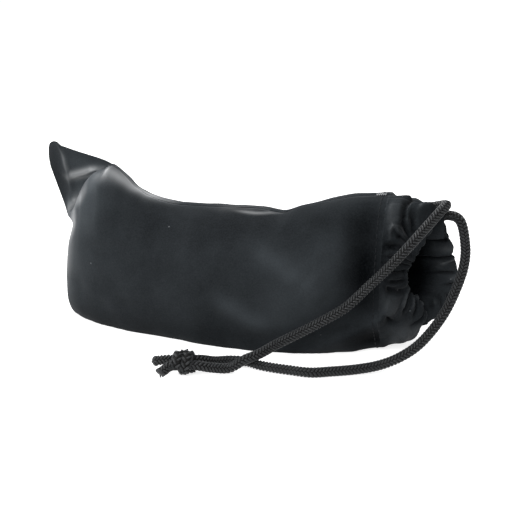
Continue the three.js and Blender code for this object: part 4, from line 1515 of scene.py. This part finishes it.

# %% [markdown]
# ## The points of a lip
# All steps together give the points of a lip. Crests of pleats get a painted highlight and shine a
# little, and valleys and the inside get painted shade, because hardly any light gets there.

# %% Points of a lip


def casing_grid(side):
    """Points of the closed tube, around the mouth and round its section, how rubbed and painted with highlight
    and shade, and how taut.
    """
    lip = lip_places(side)
    th, s, p = lip.th, lip.s, lip.p
    grid, out = smooth_lip(lip)
    x, y, z = (grid[:, :, c].copy() for c in range(3))
    small = uneven(x, y * 0.6, z * 0.6, 5.5, 11 * side) * 1.1 + uneven(x, y, z, 3.2, 7 * side) * 0.25
    sunk, drop = lip_ends(lip)
    nearer = (0.8 + (lip.k - 0.8) * (1 - 0.75 * sunk)) / lip.k
    grid[:, :, 1] *= nearer
    grid[:, :, 2] = RING_HEART + (z - RING_HEART) * nearer + drop
    if side > 0:
        grid[:, :, 2] -= smooth(0.8, 0.3, th) * along([[-0.1, 0], [0, 0], [0.16, 2.4], [0.5, 0.3], [1, 0.8]], s)
    else:
        grid[:, :, 2] += 0.8 * smooth(0.95, 0.5, th) * smooth(0.3, 0.6, s)
    push, pleat, crumple, band = lip_pleats(lip)
    grid = grid + out * ((push + small * smooth(0, 0.3, s)) * (1 - 0.8 * sunk))[:, :, None]
    grid[:, :, 1] += bow(grid[:, :, 0])
    grid = sew_to_panel(grid, lip)
    grid[:, :, 2] = np.maximum(grid[:, :, 2], 0.4)
    # Painted highlight on pleat crests and painted shade in valleys and creases.
    rub = (0.6 * np.clip(pleat, -1.2, 0.8) + (0.4 - 0.3 * band) * crumple - 0.1) * (1 - sunk)
    # Painted shade deep inside the lips, and a painted highlight on the far lip's drawn band.
    rub = rub - 1.5 * smooth(1.34, 1.56, p) + (0.3 if side > 0 else 0) * band
    # Painted shade on the front lip near its seam, in its upper half.
    rub = rub - (0.9 if side < 0 else 0) * np.exp(-(((th - 1.15) / 0.4) ** 2)) * smooth(0.45, 0.05, p)
    return grid, rub, (0.16 if side < 0 else 0.3) * np.clip(pleat, 0, 1) * (1 - sunk)


lip_grids = {side: casing_grid(side) for side in (-1, 1)}
print("points in a lip:", lip_grids[1][1].size)

# %% [markdown]
# ## The two lips
# The grid of a lip is closed one way, so its faces wrap round and two more faces close the ends. That
# makes each lip one closed tube of cloth, with the tunnel for the cord inside.

# %% Lips


def tube_piece(name, grid, rub, taut, flip):
    """A closed tube of cloth from a grid that is round one way, with both ends closed."""
    n = np.arange(rub.size).reshape(rub.shape)
    faces = quads_of(np.concatenate([n, n[:, :1]], axis=1), flip)
    first, last = n[0].tolist(), n[-1].tolist()
    faces += [first[::-1], last] if flip else [first, last[::-1]]
    values = {"rub": rub.ravel(), "taut": taut.ravel()}
    return mesh_piece(name, grid.reshape(-1, 3), faces, cloth, "cloth", cloth_run(grid), values)


lip_front = tube_piece("lip_front", *lip_grids[-1], False)
lip_back = tube_piece("lip_back", *lip_grids[1], True)
print("casing faces:", len(lip_front.data.polygons), len(lip_back.data.polygons))

# %% [markdown]
# ## The casing in place
# When the cord is pulled the two lips move towards each other, yet they stay sewn to the pouch. Here
# the lips only replace the casing's solids and stay where they are made.

# %% The lips replace the casing's solids
for piece, body, node in ((lip_front, "mouth_front", "casing_front"), (lip_back, "mouth_back", "casing_back")):
    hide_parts(node)
    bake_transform(piece)

# %% [markdown]
# ## The cord inside the casing
# The middle of the drawcord runs through the tunnel in both lips. Only a little of it can ever be
# seen, but without it the mouth would be empty when it opens. It is a thinner braid on an arc.

# %% Cord inside the casing
INNER_THICK = 0.9
for side, body, name, node in (
    (-1, "mouth_front", "cord_in_front_lip", "drawcord_in_front_casing"),
    (1, "mouth_back", "cord_in_back_lip", "drawcord_in_back_casing"),
):
    marks = []
    for w in np.linspace(0.42, math.pi - 0.34, 13):
        x = X_SEAM + 0.5 * (float(rim_at(side, w)) - X_SEAM)
        y = side * RING_WIDE * 0.76 * math.sin(w) + bow(x)
        marks.append((x, y, RING_HEART + RING_TALL * 0.8 * math.cos(w)))
    piece = braid_cord(name, lay_cord(marks), INNER_THICK)
    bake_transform(piece)
    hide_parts(node)
    print(name, "follows", body)

# %% [markdown]
# ## Thread
# The pouch is sewn with black thread, a little smoother than the cloth. Two twisted plies show as
# fine slanted lines. They come from the map of each stitch, as on the braid.

# %% Thread finish
thread, shader, wire = new_finish("sewing_thread")
spot = wire.node("ShaderNodeTexCoord").other("Object")
ply_map = wire.node("ShaderNodeSeparateXYZ", {}, {0: wire.node("ShaderNodeUVMap", {"uv_map": "pick"})})
plies = wire.math("SINE", (ply_map + ply_map.other("Y") * 2) * 40)
patchy = wire.clouds(spot, 900.0, 2.0)
shade = patchy * 0.8 + plies * 0.1 + 0.1
tone = wire.ramp(shade, (0.2, 0.007, 0.008, 0.009), (0.8, 0.022, 0.024, 0.027))
twist = wire.node("ShaderNodeBump", {}, {"Strength": 0.4, "Distance": 0.00005, "Height": plies})
wire.fill(shader, {"Base Color": tone, "Roughness": 0.5 + patchy * 0.2})
wire.fill(shader, {"Normal": twist, "Specular IOR Level": 0.1})
print("thread finish nodes:", len(thread.node_tree.nodes))

# %% [markdown]
# ## Stitches
# One tree makes every row of thread: it walks along a line, sets a small grain of thread at each
# step, lays it along the line or across it, and can swing every other one for a zigzag. The line
# carries the direction away from the cloth, so each stitch lies flat on it. A dashed picture on the
# cloth would be simpler, but it would not stand out from the cloth.

# %% Stitch tree
STITCH_SIZES = ["Spacing", "Stitch Length", "Stitch Width", "Stitch Height", "Turn", "Swing"]
stitching, given = new_tree("stitching", STITCH_SIZES)
wire = given["Spacing"]
_, dots = steps_on_line(wire, given, given["Spacing"])
away = wire.node("GeometryNodeInputNamedAttribute", {"data_type": "FLOAT_VECTOR"}, {"Name": "outward"})
swing = given["Turn"] + given["Swing"] * (1 - (wire.node("GeometryNodeInputIndex") % 2) * 2)
laid = facing_out(wire, away, dots.other("Tangent"), swing)
stitch = grain(wire, given["Stitch Length"], given["Stitch Width"], given["Stitch Height"])
row = wire.node("GeometryNodeInstanceOnPoints", {}, {"Points": dots, "Instance": stitch, "Rotation": laid})
close_tree(wire, row, given["Finish"])
print("stitching tree nodes:", len(stitching.nodes))

# %% [markdown]
# ## The row that closes the casing
# A row of straight stitches runs round the mouth just before the gathers and closes the tunnel. It
# follows one column of each panel's grid, a hair above the cloth.

# %% Row of stitches before the casing
BEFORE_SEAM, END_ROWS = 2.6, 4


def sew(name, line, away, sizes, node, finish=thread):
    """Stitches along a line: spacing, length, width and height in mm, turn and swing in degrees."""
    given_sizes = {key: value * MM for key, value in zip(STITCH_SIZES[:4], sizes[:4])}
    given_sizes.update({"Turn": math.radians(sizes[4]), "Swing": math.radians(sizes[5])})
    piece = grow(name, line, stitching, given_sizes, finish, away)
    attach(piece, "pouch")
    if node:
        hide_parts(node)
    print(name, "faces", len(piece.data.polygons))


for side, grid, word in ((-1, front_grid, "front"), (1, back_grid, "back")):
    column = int(np.argmin(np.abs(grid[ROWS // 2, :, 0] - (X_SEAM - BEFORE_SEAM))))
    away = normals_of(grid, side)[END_ROWS:-END_ROWS, column]
    row_line = grid[END_ROWS:-END_ROWS, column] + away * 0.05
    sew("stitches_" + word, row_line, away, (3.0, 2.5, 0.5, 0.4, 0, 0), "casing_topstitch_" + word)

# %% [markdown]
# ## Bar tack
# Where the upper seam meets the casing, a few dense zigzag stitches of paler thread keep the slit
# from tearing. The same stitch tree makes it, turned across the line and swung a little.

# %% Bar tack
pale, shader, wire = new_finish("pale_thread")
patchy = wire.clouds(wire.node("ShaderNodeTexCoord").other("Object"), 1200.0, 2.0)
tone = wire.ramp(patchy, (0.25, 0.07, 0.075, 0.08), (0.75, 0.32, 0.33, 0.34))
wire.fill(shader, {"Base Color": tone, "Roughness": 0.5 + patchy * 0.2})
xs = np.linspace(X_SEAM - 5.4, X_SEAM - 1.4, 12)
top_row = [(x, bow(x), float(np.interp(x, front_grid[-1, :, 0], front_grid[-1, :, 2])) + 0.55) for x in xs]
sew("bar_tack", top_row, [(0, 0, 1)] * len(xs), (0.42, 3.6, 0.42, 0.4, 90, 7), "exit_bartack", pale)

# %% [markdown]
# ## Seam allowances inside
# The pouch was sewn inside out, so the raw edges are inside. Each is a narrow strip of two layers of
# cloth with an overlocked edge. They show only through the mouth, but they are what holds the panels.
# A strip is the same kind of cloth piece as a panel, laid along the seam and waved a little.

# %% Seam strips
HALF_STRIP = 0.85


def strip_piece(name, line, wide_way, wide, node):
    """A soft double strip along a line: wide_way is the direction it stands in, wide its width in mm."""
    line, wide_way = np.array(line, float), np.array([wide_way] * len(line), float)
    ahead = np.gradient(line, axis=0)
    ahead /= np.linalg.norm(ahead, axis=1, keepdims=True)
    flat_way = np.cross(ahead, wide_way)
    flat_way /= np.linalg.norm(flat_way, axis=1, keepdims=True)
    steps = np.linspace(0, 1, 9)
    wave = np.sin(run_of(line) / 5.2)[:, None] * steps[None, :] * 0.45
    middle = line[:, None] + wide_way[:, None] * steps[None, :, None] * wide
    middle = middle + flat_way[:, None] * wave[:, :, None]
    half = flat_way[:, None] * HALF_STRIP
    plain_cloth = np.zeros(middle.shape[:2])
    piece = cloth_piece(name, middle + half, middle - half, plain_cloth, plain_cloth, False)
    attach(piece, "pouch")
    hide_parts(node)
    sew(name + "_overlock", middle[:, -1], flat_way, (1.6, 2.6, 0.5, 2.2, 90, 22), None)


spots = np.linspace(-30, X_SEAM - 9, 60)
upper = [(x, bow(x), float(ridge_line(x)) - 1.6) for x in spots]
strip_piece("allowance_upper", upper, (0, 0, -1), 5.5, "upper_seam")
spots = np.linspace(float(end_at(3)) + 8, X_SEAM - 1, 70)
lower = [(x, bow(x) - 2.8, max(float(low_line(x)), 0) + 2.2) for x in spots]
strip_piece("allowance_lower", lower, (0, 1, 0), 5.6, "lower_seam")
heights = np.linspace(6, 42, 30)
end_strip = [(float(end_at(z)) + 1.5, float(bow(end_at(z) + 1.5)), z) for z in heights]
strip_piece("allowance_end", end_strip, (1, 0, 0), 4.6, "end_seam")
print("strips with", len(upper), len(lower), len(end_strip), "points")

# %% [markdown] ## Size The boxes of the solid model and of the dressed pouch are printed. A little
# of the cloth may stand proud of the solid.
# The dressed pouch has to stay within the solid model's box, apart from a little that cloth may
# stand proud.

# %% Finish
visual_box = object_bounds()
for word, box in (("solid box", cad_box), ("dressed box", visual_box)):
    print(word, [[round(v, 4) for v in c] for c in box])
